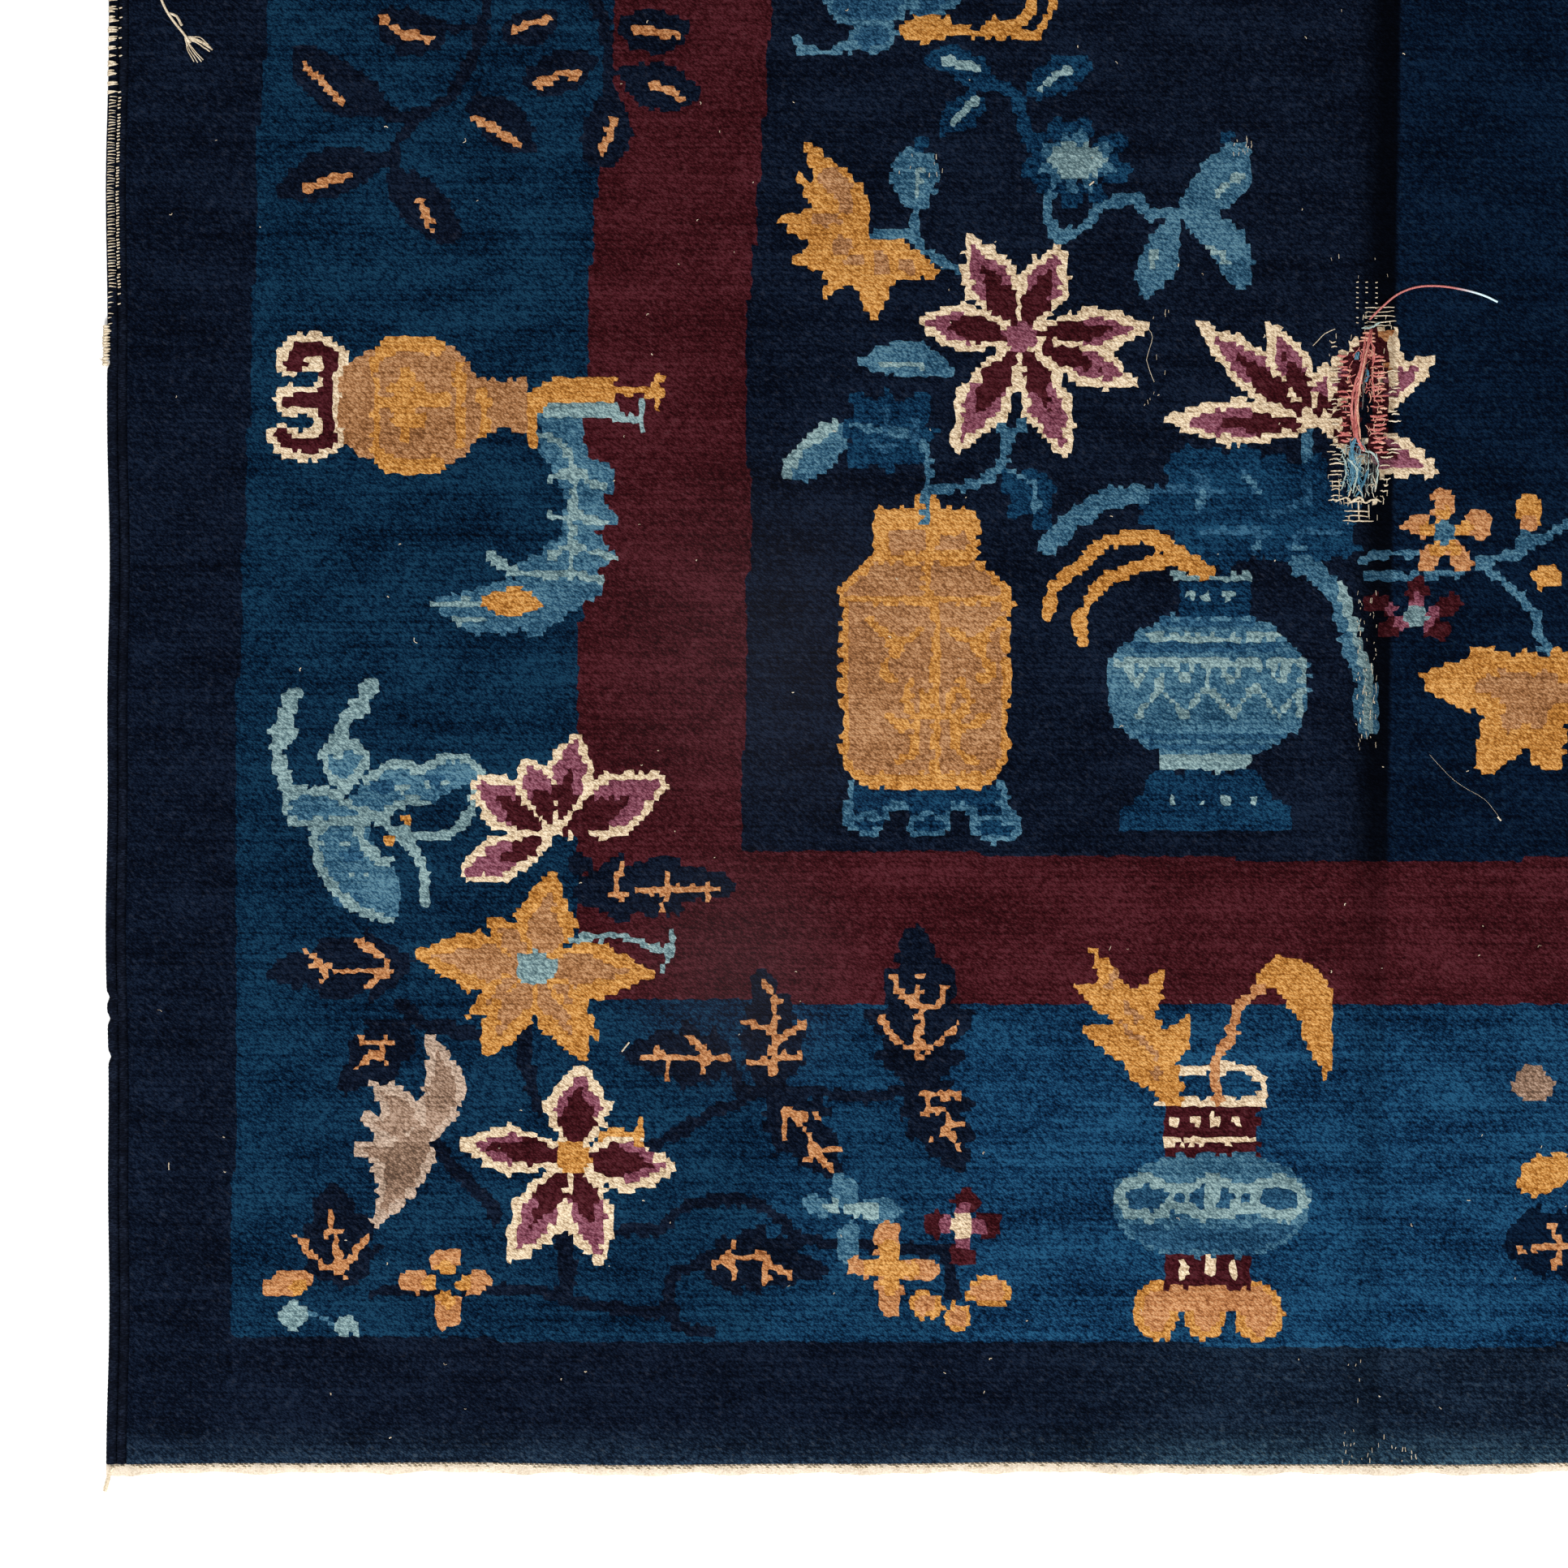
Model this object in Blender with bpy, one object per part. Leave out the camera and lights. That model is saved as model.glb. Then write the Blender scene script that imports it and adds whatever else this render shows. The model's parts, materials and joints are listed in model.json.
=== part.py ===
"""Hand-knotted wool rug, nine by twelve feet, laid flat, with one old fold line down its middle.

Metres. X runs across the rug, Y along its warps and Z up. The origin is the middle of the underside.
The knotted body, its two overcast edge cords on each side and the cotton web at each end are separate
solids. A darning yarn's loose tail and a loose cotton thread lie on the pile.
"""

import math

import bmesh
import bpy
import numpy as np
from mathutils import Vector

WIDTH = 2.740
LENGTH = 3.560
GAP = 0.0003

# The knotted body: cotton foundation below, wool pile above.
PILE_TOP = 0.0110
FOUNDATION_TOP = 0.0035
SHOULDER_DROP = 0.0040
SHOULDER_WIDTH = 0.010
COLUMNS = 26
ROWS = 40
SWELL = 0.0006

# Each side is finished by two cords overcast in wool, and each end by a bare cotton web.
CORD_WIDTH = 0.0112
CORD_HEIGHT = 0.0072
CORD_BASE_INSET = 0.0016
CORD_ARC_STEPS = 4
CORDS_A_SIDE = 2
WEB_DEPTH = 0.0110
WEB_HEIGHT = 0.0030
WEB_RIM = 0.0018
WEB_STEPS_A_COLUMN = 3
WEB_FRAY = 0.0022

# The old fold runs the whole length, and the pile is worn through along a part of it.
FOLD_DEPTH = 0.0028
FOLD_HALF_WIDTH = 0.016
FOLD_COLUMNS = (-0.048, -0.030, -0.016, -0.007, 0.0, 0.007, 0.016, 0.030)
WEAR_X = -0.007
WEAR_HALF_WIDTH = 0.017
WEAR_ROWS = (-0.762, -0.745, -0.700, -0.640, -0.575, -0.540, -0.520)
WEAR_DEPTH = 0.0062

# Slow waves that the edges follow: how far they swing, waves in the whole length, and where they start.
SIDE_WAVES = (
    {"swing": 0.0014, "count": 5.0, "start": 0.7},
    {"swing": 0.0008, "count": 13.0, "start": 2.1},
)
END_WAVES = (
    {"swing": 0.0012, "count": 4.0, "start": 1.1},
    {"swing": 0.0006, "count": 9.0, "start": 0.3},
)

YARN_DIAMETER = 0.0022
THREAD_DIAMETER = 0.0026
YARN_BEVEL_RESOLUTION = 2
YARN_STEPS_A_POINT = 5
FACET_REACH = 0.012

# Where each loose yarn passes on the pile.
DARN_TAIL_ROUTE = (
    {"x": -0.010, "y": -0.541},
    {"x": 0.003, "y": -0.528},
    {"x": 0.020, "y": -0.514},
    {"x": 0.041, "y": -0.506},
    {"x": 0.066, "y": -0.505},
    {"x": 0.092, "y": -0.509},
    {"x": 0.113, "y": -0.515},
    {"x": 0.128, "y": -0.522},
)
LOOSE_THREAD_ROUTE = (
    {"x": -1.340, "y": -0.128},
    {"x": -1.330, "y": -0.152},
    {"x": -1.320, "y": -0.176},
    {"x": -1.313, "y": -0.194},
    {"x": -1.306, "y": -0.209},
    {"x": -1.297, "y": -0.222},
    {"x": -1.288, "y": -0.233},
    {"x": -1.281, "y": -0.243},
)


def clear_scene():
    for thing in list(bpy.data.objects):
        bpy.data.objects.remove(thing)


def finish(name, colour, roughness):
    material = bpy.data.materials.new(name)
    material.use_nodes = True
    shader = material.node_tree.nodes["Principled BSDF"]
    shader.inputs["Base Color"].default_value = (*colour, 1.0)
    shader.inputs["Roughness"].default_value = roughness
    shader.inputs["Metallic"].default_value = 0.0
    return material


def waves(table, share):
    """Sum of the waves in a table at a share from 0 to 1 of the length."""
    return sum(w["swing"] * math.sin(math.tau * w["count"] * share + w["start"]) for w in table)


def side_shift(y, side):
    """How far the side edge stands out at y. The right side is the left one turned end for end."""
    return waves(SIDE_WAVES, 0.5 + side * y / LENGTH)


def end_shift(x, end):
    """How far the end edge stands out at x, straight between the body's own columns."""
    columns = stations_across()
    return float(np.interp(x, columns, [waves(END_WAVES, 0.5 + end * c / WIDTH) for c in columns]))


def side_x(y, side, inset):
    """The x of a line that runs along a side, inset from its nominal edge."""
    return side * (WIDTH / 2 - inset + side_shift(y, side))


def end_y(x, end, inset):
    return end * (LENGTH / 2 - inset + end_shift(x, end))


def smooth_bump(distance, half_width):
    """1 at the middle and 0 from half_width out, level at both."""
    share = min(1.0, abs(distance) / half_width)
    return 0.5 + 0.5 * math.cos(math.pi * share)


def wear(x, y):
    """How worn the pile is at a point, from 0 to 1."""
    along = min(1.0, max(0.0, (y - WEAR_ROWS[0]) / (WEAR_ROWS[1] - WEAR_ROWS[0])))
    along *= min(1.0, max(0.0, (WEAR_ROWS[-1] - y) / (WEAR_ROWS[-1] - WEAR_ROWS[-2])))
    return along * smooth_bump(x - WEAR_X, WEAR_HALF_WIDTH)


def pile_height(x, y):
    """The pile's top: a slow swell, less the fold and the worn place."""
    swell = SWELL * math.sin(3.1 * x + 1.3 * y) * math.cos(2.3 * y - 0.9 * x)
    fold = FOLD_DEPTH * smooth_bump(x, FOLD_HALF_WIDTH)
    return max(FOUNDATION_TOP, PILE_TOP + swell - fold - WEAR_DEPTH * wear(x, y))


def spread(low, high, steps):
    return [low + (high - low) * i / steps for i in range(steps + 1)]


def body_half_width():
    return WIDTH / 2 - CORDS_A_SIDE * (CORD_WIDTH + GAP)


def body_half_length():
    return LENGTH / 2 - WEB_DEPTH - GAP


def stations_across():
    """Columns of the body's grid: close together at the edges and beside the fold."""
    half = body_half_width()
    shoulder = half - SHOULDER_WIDTH
    left = spread(-shoulder, FOLD_COLUMNS[0], COLUMNS // 2)
    right = spread(FOLD_COLUMNS[-1], shoulder, COLUMNS // 2)
    return [-half, *left, *FOLD_COLUMNS[1:-1], *right, half]


def stations_along():
    """Rows of the body's grid, with the worn place's own rows among the even ones."""
    half = body_half_length()
    shoulder = half - SHOULDER_WIDTH
    even = spread(-shoulder, shoulder, ROWS)
    clear = LENGTH / ROWS / 3
    kept = [y for y in even if all(abs(y - w) > clear for w in WEAR_ROWS)]
    return sorted([-half, *kept, *WEAR_ROWS, half])


def mesh_object(name, bm, material):
    mesh = bpy.data.meshes.new(name)
    bmesh.ops.recalc_face_normals(bm, faces=bm.faces)
    bm.to_mesh(mesh)
    bm.free()
    mesh.materials.append(material)
    thing = bpy.data.objects.new(name, mesh)
    bpy.context.scene.collection.objects.link(thing)
    return thing


def rug_body(material):
    """A grid shaped to the pile's top, its rim drawn down to the floor and closed underneath."""
    across, along = stations_across(), stations_along()
    bm = bmesh.new()
    bmesh.ops.create_grid(bm, x_segments=len(across) - 1, y_segments=len(along) - 1, size=1.0)
    half_x, half_y = body_half_width(), body_half_length()
    for vert in bm.verts:
        i = round((vert.co.x + 1.0) / 2.0 * (len(across) - 1))
        j = round((vert.co.y + 1.0) / 2.0 * (len(along) - 1))
        x, y = across[i], along[j]
        on_rim = i in (0, len(across) - 1) or j in (0, len(along) - 1)
        height = pile_height(x, y) - (SHOULDER_DROP if on_rim else 0.0)
        side, end = math.copysign(1, x), math.copysign(1, y)
        x += side * side_shift(y, side) * (abs(x) / half_x) ** 8
        y += end * end_shift(x, end) * (abs(y) / half_y) ** 8
        vert.co = Vector((x, y, height))
    rim = [edge for edge in bm.edges if edge.is_boundary]
    drawn = bmesh.ops.extrude_edge_only(bm, edges=rim)["geom"]
    for vert in (v for v in drawn if isinstance(v, bmesh.types.BMVert)):
        vert.co.z = 0.0
    underside = [e for e in drawn if isinstance(e, bmesh.types.BMEdge) and e.is_boundary]
    bmesh.ops.contextual_create(bm, geom=underside)
    return mesh_object("rug_body", bm, material)


def cord_section():
    """A cord's cross-section from its left edge at 0: flat below, rounded above."""
    points = [(CORD_WIDTH - CORD_BASE_INSET, 0.0), (CORD_BASE_INSET, 0.0)]
    for k in range(CORD_ARC_STEPS + 1):
        turn = math.pi * k / CORD_ARC_STEPS
        rise = CORD_HEIGHT / 3 + CORD_HEIGHT * 2 / 3 * math.sin(turn)
        points.append((CORD_WIDTH / 2 - CORD_WIDTH / 2 * math.cos(turn), rise))
    return points


def skin(rings):
    """Closed mesh through rings of equally many points, with an end face at each end."""
    bm = bmesh.new()
    loops = [[bm.verts.new(p) for p in ring] for ring in rings]
    for near, far in zip(loops, loops[1:]):
        for k in range(len(near)):
            after = (k + 1) % len(near)
            bm.faces.new((near[k], near[after], far[after], far[k]))
    bm.faces.new(loops[0])
    bm.faces.new(loops[-1])
    return bm


def edge_cord(name, side, place, material):
    """One overcast cord. Place 0 is the outermost."""
    section = cord_section()
    inset = place * (CORD_WIDTH + GAP)
    rings = []
    for y in stations_along():
        on_end = abs(y) == body_half_length()
        ring = []
        for offset, rise in section:
            x = side_x(y, side, inset + offset)
            shift = math.copysign(1, y) * end_shift(x, math.copysign(1, y)) if on_end else 0.0
            ring.append((x, y + shift, rise))
        rings.append(ring)
    return mesh_object(name, skin(rings), material)


def end_web(name, end, material):
    """The bare cotton web past the last row of knots, its outer edge frayed."""
    corners = [side_x(end * body_half_length(), side, 0.0) for side in (-1, 1)]
    columns = [corners[0], *stations_across(), corners[1]]
    places = [x for a, b in zip(columns, columns[1:]) for x in spread(a, b, WEB_STEPS_A_COLUMN)[:-1]]
    places.append(corners[1])
    rings = []
    for k, x in enumerate(places):
        fray = WEB_FRAY * (0.5 + 0.5 * math.sin(1.9 * k) * math.cos(0.7 * k * k))
        outer, inner = end_y(x, end, fray), end_y(x, end, WEB_DEPTH)
        rings.append([(x, inner, 0.0), (x, outer, 0.0), (x, outer, WEB_RIM), (x, inner, WEB_HEIGHT)])
    return mesh_object(name, skin(rings), material)


def smooth_route(route, steps):
    """Points along one smooth curve through a route's own points, a spline segment at a time."""
    given = [Vector((p["x"], p["y"], 0.0)) for p in route]
    ends = [given[0] * 2 - given[1], *given, given[-1] * 2 - given[-2]]
    points = []
    for a, b, c, d in zip(ends, ends[1:], ends[2:], ends[3:]):
        bend = 2 * a - 5 * b + 4 * c - d
        twist = 3 * b - a - 3 * c + d
        for k in range(steps):
            t = k / steps
            points.append(0.5 * (2 * b + (c - a) * t + bend * t ** 2 + twist * t ** 3))
    points.append(given[-1])
    return points


def facet_height(x, y):
    """The highest of the body's grid heights round a point, so that a yarn clears its flat facets."""
    steps = (-FACET_REACH, 0.0, FACET_REACH)
    return max(pile_height(x + i, y + j) for i in steps for j in steps)


def lying_yarn(name, route, diameter, material):
    """A yarn that lies on the pile, as a curve with a round section and filled ends."""
    curve = bpy.data.curves.new(name, "CURVE")
    curve.dimensions = "3D"
    curve.bevel_depth = diameter / 2
    curve.bevel_resolution = YARN_BEVEL_RESOLUTION
    curve.use_fill_caps = True
    points = smooth_route(route, YARN_STEPS_A_POINT)
    spline = curve.splines.new("POLY")
    spline.points.add(len(points) - 1)
    for point, place in zip(spline.points, points):
        rise = facet_height(place.x, place.y) + diameter / 2 + GAP
        point.co = (place.x, place.y, rise, 1.0)
    curve.materials.append(material)
    thing = bpy.data.objects.new(name, curve)
    bpy.context.scene.collection.objects.link(thing)
    return thing


def build():
    clear_scene()
    pile = finish("navy_wool_pile", (0.012, 0.020, 0.050), 0.95)
    overcast = finish("navy_wool_overcasting", (0.010, 0.014, 0.032), 0.95)
    cotton = finish("cream_cotton", (0.62, 0.52, 0.38), 0.9)
    darn = finish("rose_darning_yarn", (0.46, 0.12, 0.13), 0.9)
    rug_body(pile)
    for side, side_name in ((-1, "left"), (1, "right")):
        for place, place_name in enumerate(("outer", "inner")):
            edge_cord(f"edge_cord_{side_name}_{place_name}", side, place, overcast)
    end_web("end_web_near", -1, cotton)
    end_web("end_web_far", 1, cotton)
    lying_yarn("darning_yarn_tail", DARN_TAIL_ROUTE, YARN_DIAMETER, darn)
    lying_yarn("loose_cotton_thread", LOOSE_THREAD_ROUTE, THREAD_DIAMETER, cotton)


build()
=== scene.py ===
# A hand-knotted wool rug laid flat: navy field, three plain borders, sprays, vases and butterflies.
import json
import math
import bpy
import numpy as np
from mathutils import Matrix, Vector

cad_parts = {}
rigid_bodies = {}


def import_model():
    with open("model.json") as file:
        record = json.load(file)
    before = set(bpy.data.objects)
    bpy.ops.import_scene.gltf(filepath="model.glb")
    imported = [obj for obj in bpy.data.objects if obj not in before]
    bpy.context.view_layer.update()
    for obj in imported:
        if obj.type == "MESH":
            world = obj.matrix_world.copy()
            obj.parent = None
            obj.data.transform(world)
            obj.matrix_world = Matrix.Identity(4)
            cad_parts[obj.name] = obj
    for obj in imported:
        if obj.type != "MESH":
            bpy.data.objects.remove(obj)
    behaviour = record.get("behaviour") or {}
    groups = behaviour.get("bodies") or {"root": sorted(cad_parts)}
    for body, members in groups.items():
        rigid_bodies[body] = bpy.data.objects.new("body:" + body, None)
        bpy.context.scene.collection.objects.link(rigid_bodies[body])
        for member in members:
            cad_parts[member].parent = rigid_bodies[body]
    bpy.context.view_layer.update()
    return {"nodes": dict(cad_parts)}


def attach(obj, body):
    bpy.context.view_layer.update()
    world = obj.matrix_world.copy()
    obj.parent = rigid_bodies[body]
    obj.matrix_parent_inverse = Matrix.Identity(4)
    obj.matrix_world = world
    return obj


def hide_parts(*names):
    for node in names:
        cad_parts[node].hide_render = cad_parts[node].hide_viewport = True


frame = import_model()
print("frame loaded:", len(frame["nodes"]), "CAD nodes")


def deselectAll():
    for thing in bpy.context.scene.objects:
        thing.select_set(False)
    bpy.context.view_layer.objects.active = None


def makeActive(thing):
    deselectAll()
    thing.select_set(True)
    bpy.context.view_layer.objects.active = thing


deselectAll()

# The photograph is taken from straight above the rug's lower left part.
picture = {
    "pixels": 1932,
    "metresPerPixel": 0.000875,
    "middle": (-0.6411, -1.0415),  # where the picture's middle falls on the rug
    "lens": 85.0,
    "sensor": 36.0,
    "pileTop": 0.011,
}


def addCamera():
    seenWidth = picture["pixels"] * picture["metresPerPixel"]
    height = picture["pileTop"] + seenWidth * picture["lens"] / picture["sensor"]
    data = bpy.data.cameras.new("camera")
    data.lens = picture["lens"]
    data.sensor_width = picture["sensor"]
    data.clip_end = 50.0
    camera = bpy.data.objects.new("camera", data)
    camera.location = (*picture["middle"], height)
    bpy.context.scene.collection.objects.link(camera)
    bpy.context.scene.camera = camera


addCamera()

# Sizes in metres. The design itself is drawn in millimetres from the corner that the photograph shows.
rug = {
    "width": 2.740,
    "length": 3.560,
    "cordWidth": 0.0112,
    "cordsPerSide": 2,
    "webDepth": 0.0110,
    "gap": 0.0003,
    "knotColumns": 490,
    "knotRows": 643,
}
bodyHalfWidth = rug["width"] / 2 - rug["cordsPerSide"] * (rug["cordWidth"] + rug["gap"])
bodyHalfLength = rug["length"] / 2 - rug["webDepth"] - rug["gap"]
knotWidth = 2 * bodyHalfWidth / rug["knotColumns"]
knotLength = 2 * bodyHalfLength / rug["knotRows"]
widthMm = rug["width"] * 1000
lengthMm = rug["length"] * 1000

woolNames = ["navy", "blue", "burgundy", "gold", "tan", "cream", "mauve", "rust", "sky", "mid", "pale",
             "taupe", "fawn"]
navy, blue, burgundy, gold, tan, cream, mauve, rust, sky, mid, pale, taupe, fawn = range(len(woolNames))
noMotif = -1
knotWander = 1.9  # millimetres that a knot strays, so that outlines look knotted

# knot centres in millimetres from the corner
knotNoise = np.random.default_rng(7)
columnMm = (rug["width"] / 2 - bodyHalfWidth + (np.arange(rug["knotColumns"]) + 0.5) * knotWidth) * 1000
rowMm = (rug["length"] / 2 - bodyHalfLength + (np.arange(rug["knotRows"]) + 0.5) * knotLength) * 1000
acrossMm, alongMm = np.meshgrid(columnMm, rowMm)
acrossMm = acrossMm + knotNoise.uniform(-knotWander, knotWander, acrossMm.shape)
alongMm = alongMm + knotNoise.uniform(-knotWander, knotWander, alongMm.shape)
design = np.full(acrossMm.shape, noMotif)


# points along a smooth curve through the given ones
def curveThrough(points, steps=6, closed=False):
    p = np.array(points, float)
    if len(p) < 3 and not closed:
        return p
    ends = np.vstack([p[-1:], p, p[:2]]) if closed else np.vstack([2 * p[0] - p[1], p, 2 * p[-1] - p[-2]])
    share = np.linspace(0, 1, steps, endpoint=False)[:, None]
    spans = []
    for a, b, c, d in zip(ends, ends[1:], ends[2:], ends[3:]):
        bend = (2 * a - 5 * b + 4 * c - d) * share ** 2 + (3 * b - a - 3 * c + d) * share ** 3
        spans.append(b + 0.5 * ((c - a) * share + bend))
    return np.vstack(spans) if closed else np.vstack([*spans, p[-1:]])


# the part of the knot grid round some points
def windowRound(points, margin):
    low, high = points.min(axis=0) - margin, points.max(axis=0) + margin
    columns = slice(*np.searchsorted(columnMm, (low[0], high[0])))
    rows = slice(*np.searchsorted(rowMm, (low[1], high[1])))
    return rows, columns


# distance of each knot from a path, and the share of the path where it is nearest
def distanceToPath(path, u, v):
    nearest = np.full(u.shape, np.inf)
    place = np.zeros(u.shape)
    for k, (a, b) in enumerate(zip(path, path[1:])):
        span = b - a
        share = ((u - a[0]) * span[0] + (v - a[1]) * span[1]) / max(span @ span, 1e-9)
        share = np.clip(share, 0, 1)
        away = np.hypot(u - a[0] - share * span[0], v - a[1] - share * span[1])
        place = np.where(away < nearest, (k + share) / (len(path) - 1), place)
        nearest = np.minimum(nearest, away)
    return nearest, place


# how deep each knot lies inside a closed outline. Outside it is negative
def depthInside(outline, u, v):
    closed = np.vstack([outline, outline[:1]])
    inside = np.zeros(u.shape, bool)
    for a, b in zip(closed, closed[1:]):
        if a[1] != b[1]:
            crossing = (a[1] > v) != (b[1] > v)
            inside ^= crossing & (u < (b[0] - a[0]) * (v - a[1]) / (b[1] - a[1]) + a[0])
    away = distanceToPath(closed, u, v)[0]
    return np.where(inside, away, -away)


# fills outlines that grow together into one shape, with a rim if asked
def fillShapes(outlines, wool, rim=None, rimWidth=0.0):
    rows, columns = windowRound(np.vstack(outlines), 6)
    u, v = acrossMm[rows, columns], alongMm[rows, columns]
    depth = np.max([depthInside(outline, u, v) for outline in outlines], axis=0)
    part = design[rows, columns]
    part[depth > 0] = wool
    if rim is not None:
        part[(depth > 0) & (depth < rimWidth)] = rim


def fillShape(outline, wool, rim=None, rimWidth=0.0):
    fillShapes([np.array(outline, float)], wool, rim, rimWidth)


# a yarn-drawn line through the points, which may taper to another width
def drawStroke(points, width, wool, endWidth=None):
    path = curveThrough(points)
    rows, columns = windowRound(path, width)
    away, place = distanceToPath(path, acrossMm[rows, columns], alongMm[rows, columns])
    local = width + ((endWidth or width) - width) * place
    design[rows, columns][away < local / 2] = wool


def drawStrokes(lines, width, wool):
    for points in lines:
        drawStroke(points, width, wool)


# a unit step in a direction given in degrees
def heading(turn):
    return np.array([math.cos(math.radians(turn)), math.sin(math.radians(turn))])


def drawSpot(centre, radii, wool, turn=0.0, rim=None, rimWidth=0.0):
    share = np.linspace(0, math.tau, 24, endpoint=False)
    across, along = radii[0] * np.cos(share), radii[1] * np.sin(share)
    c, s = heading(turn)
    outline = np.stack([centre[0] + c * across - s * along, centre[1] + s * across + c * along], axis=1)
    fillShape(outline, wool, rim, rimWidth)


def drawSpots(centres, radii, wool):
    for centre in centres:
        drawSpot(centre, radii, wool)


# outline of a leaf on a bent spine. The lobes are saw teeth that point to its tip
def leafOutline(spine, width, belly=0.45, point=0.75, lobes=0, depth=0.0, tip=None):
    path = curveThrough(spine, 12)
    share = np.linspace(0, 1, 61)
    lengths = np.concatenate([[0], np.cumsum(np.hypot(*np.diff(path, axis=0).T))])
    places = np.stack([np.interp(share * lengths[-1], lengths, path[:, k]) for k in (0, 1)], axis=1)
    ahead = np.gradient(places, axis=0)
    side = np.stack([-ahead[:, 1], ahead[:, 0]], axis=1) / np.hypot(*ahead.T)[:, None]
    rise = np.where(share < belly, share / belly, (1 - share) / (1 - belly))
    swell = np.sin(rise * math.pi / 2) ** point
    if tip is not None:
        swell = np.where(share < belly, swell, rise ** tip)
    if lobes:
        swell = swell * (1 - depth * (1 - (share * lobes) % 1))
    half = (width / 2 * swell)[:, None]
    return np.vstack([places + side * half, (places - side * half)[::-1]])


def drawLeaf(spine, width, wool, **form):
    fillShape(leafOutline(spine, width, **form), wool)


# navy leaves with rust veins, each given by its spine, its width and the veins
def drawVeinedLeaves(leaves, veinWidth=7.0, **form):
    for spine, width, veins in leaves:
        drawLeaf(spine, width, navy, **form)
        drawStrokes(veins, veinWidth, rust)


# several leaves that grow together into one shape, each given by its spine and its width
def drawLobes(leaves, wool, rim=None, rimWidth=0.0, **form):
    fillShapes([leafOutline(leaf[:-1], leaf[-1], **form) for leaf in leaves], wool, rim, rimWidth)


# Petals round a centre, each given by its turn, length, width and the share that its core takes.
# A knot goes to the petal it lies deepest in, so petals meet in a line.
def drawFlower(centre, petals, body, rim, core, rimWidth, lineWidth, depth=0.12, **form):
    centre = np.array(centre, float)
    outlines = []
    for turn, length, width, _ in petals:
        tip = centre + heading(turn) * length
        outlines.append(leafOutline([centre, (centre + tip) / 2, tip], width, lobes=5, depth=depth, **form))
    rows, columns = windowRound(np.vstack(outlines), 6)
    u, v = acrossMm[rows, columns], alongMm[rows, columns]
    depths = np.stack([depthInside(outline, u, v) for outline in outlines])
    order = np.argsort(-depths, axis=0)
    deepest, second = np.take_along_axis(depths, order[:2], axis=0)
    part = design[rows, columns]
    part[deepest > 0] = rim
    part[(deepest > rimWidth) & (deepest - second > lineWidth)] = body
    base = (deepest > rimWidth * 0.75) & (deepest - second > lineWidth * 0.8)
    for k, (turn, length, width, coreShare) in enumerate(petals):
        axis = heading(turn)
        out = (u - centre[0]) * axis[0] + (v - centre[1]) * axis[1]
        aside = abs(-(u - centre[0]) * axis[1] + (v - centre[1]) * axis[0])
        reach = length * (0.10 + coreShare)
        part[base & (order[0] == k) & (aside < width * 0.50 * (1.12 - out / reach))] = core


# a vase's outline from half widths at heights above its foot
def drawTurned(foot, turn, profile, wool, rim=None, rimWidth=0.0):
    axis = heading(turn)
    side = np.array([-axis[1], axis[0]])
    right = [np.array(foot) + axis * p[0] + side * p[1] for p in profile]
    left = [np.array(foot) + axis * p[0] - side * p[1] for p in profile]
    fillShape(right + left[::-1], wool, rim, rimWidth)


def drawBar(low, high, wool):
    fillShape([low, (high[0], low[1]), high, (low[0], high[1])], wool)


# petals of spots round a heart, each given by its turn, reach, radii and the wool inside it
def drawSmallFlower(centre, petals, wool, heart, heartRadius):
    for turn, reach, radii, inner in petals:
        drawSpot(centre + reach * heading(turn), radii, wool, turn)
        if inner is not None:
            drawSpot(centre + reach * 0.6 * heading(turn), (radii[0] * 0.5, radii[1] * 0.6), inner, turn)
    drawSpot(centre, (heartRadius, heartRadius), heart)


# Leaves are given by spine, width and veins, and stems by points and width.
branchLeaves = [
    ([(302, 1466), (238, 1496), (198, 1534)], 58, [[(213, 1514), (251, 1475)]]),
    ([(286, 1569), (330, 1548), (368, 1553)], 50, [[(297, 1564), (317, 1550), (350, 1541)]]),
    ([(424, 1545), (455, 1553), (486, 1566)], 38, [[(437, 1552), (450, 1558), (475, 1564)]]),
    ([(446, 1490), (485, 1505), (526, 1521)], 48, [[(464, 1493), (485, 1504), (506, 1502)]]),
    ([(388, 1476), (425, 1452), (460, 1421)], 50, [[(399, 1457), (441, 1428)]]),
    ([(549, 1562), (588, 1549), (628, 1554)], 48, [[(570, 1552), (614, 1546)]]),
    ([(551, 1507), (595, 1490), (639, 1480)], 50, [[(585, 1495), (616, 1479)]]),
    ([(541, 1484), (537, 1440), (522, 1402)], 54, [[(543, 1455), (541, 1438), (533, 1421)]]),
    ([(180, 1376), (236, 1396), (298, 1412)], 50, [[(213, 1380), (258, 1397)]]),
    ([(302, 1400), (340, 1362), (377, 1322)], 52, [[(335, 1369), (348, 1337)]]),
]
branchStems = [
    ([(412, 1640), (408, 1583), (401, 1546), (382, 1499), (353, 1470), (328, 1451), (306, 1419),
      (310, 1398)], 13),
    ([(353, 1470), (324, 1459), (292, 1464)], 13),
    ([(521, 1590), (536, 1557), (539, 1517), (543, 1470)], 13),
    ([(372, 1552), (401, 1556)], 10),
    ([(306, 1419), (280, 1410)], 11),
]


def weaveBranch():
    for points, width in branchStems:
        drawStroke(points, width, navy)
    drawVeinedLeaves(branchLeaves, 9, belly=0.5, point=0.62)


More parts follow.
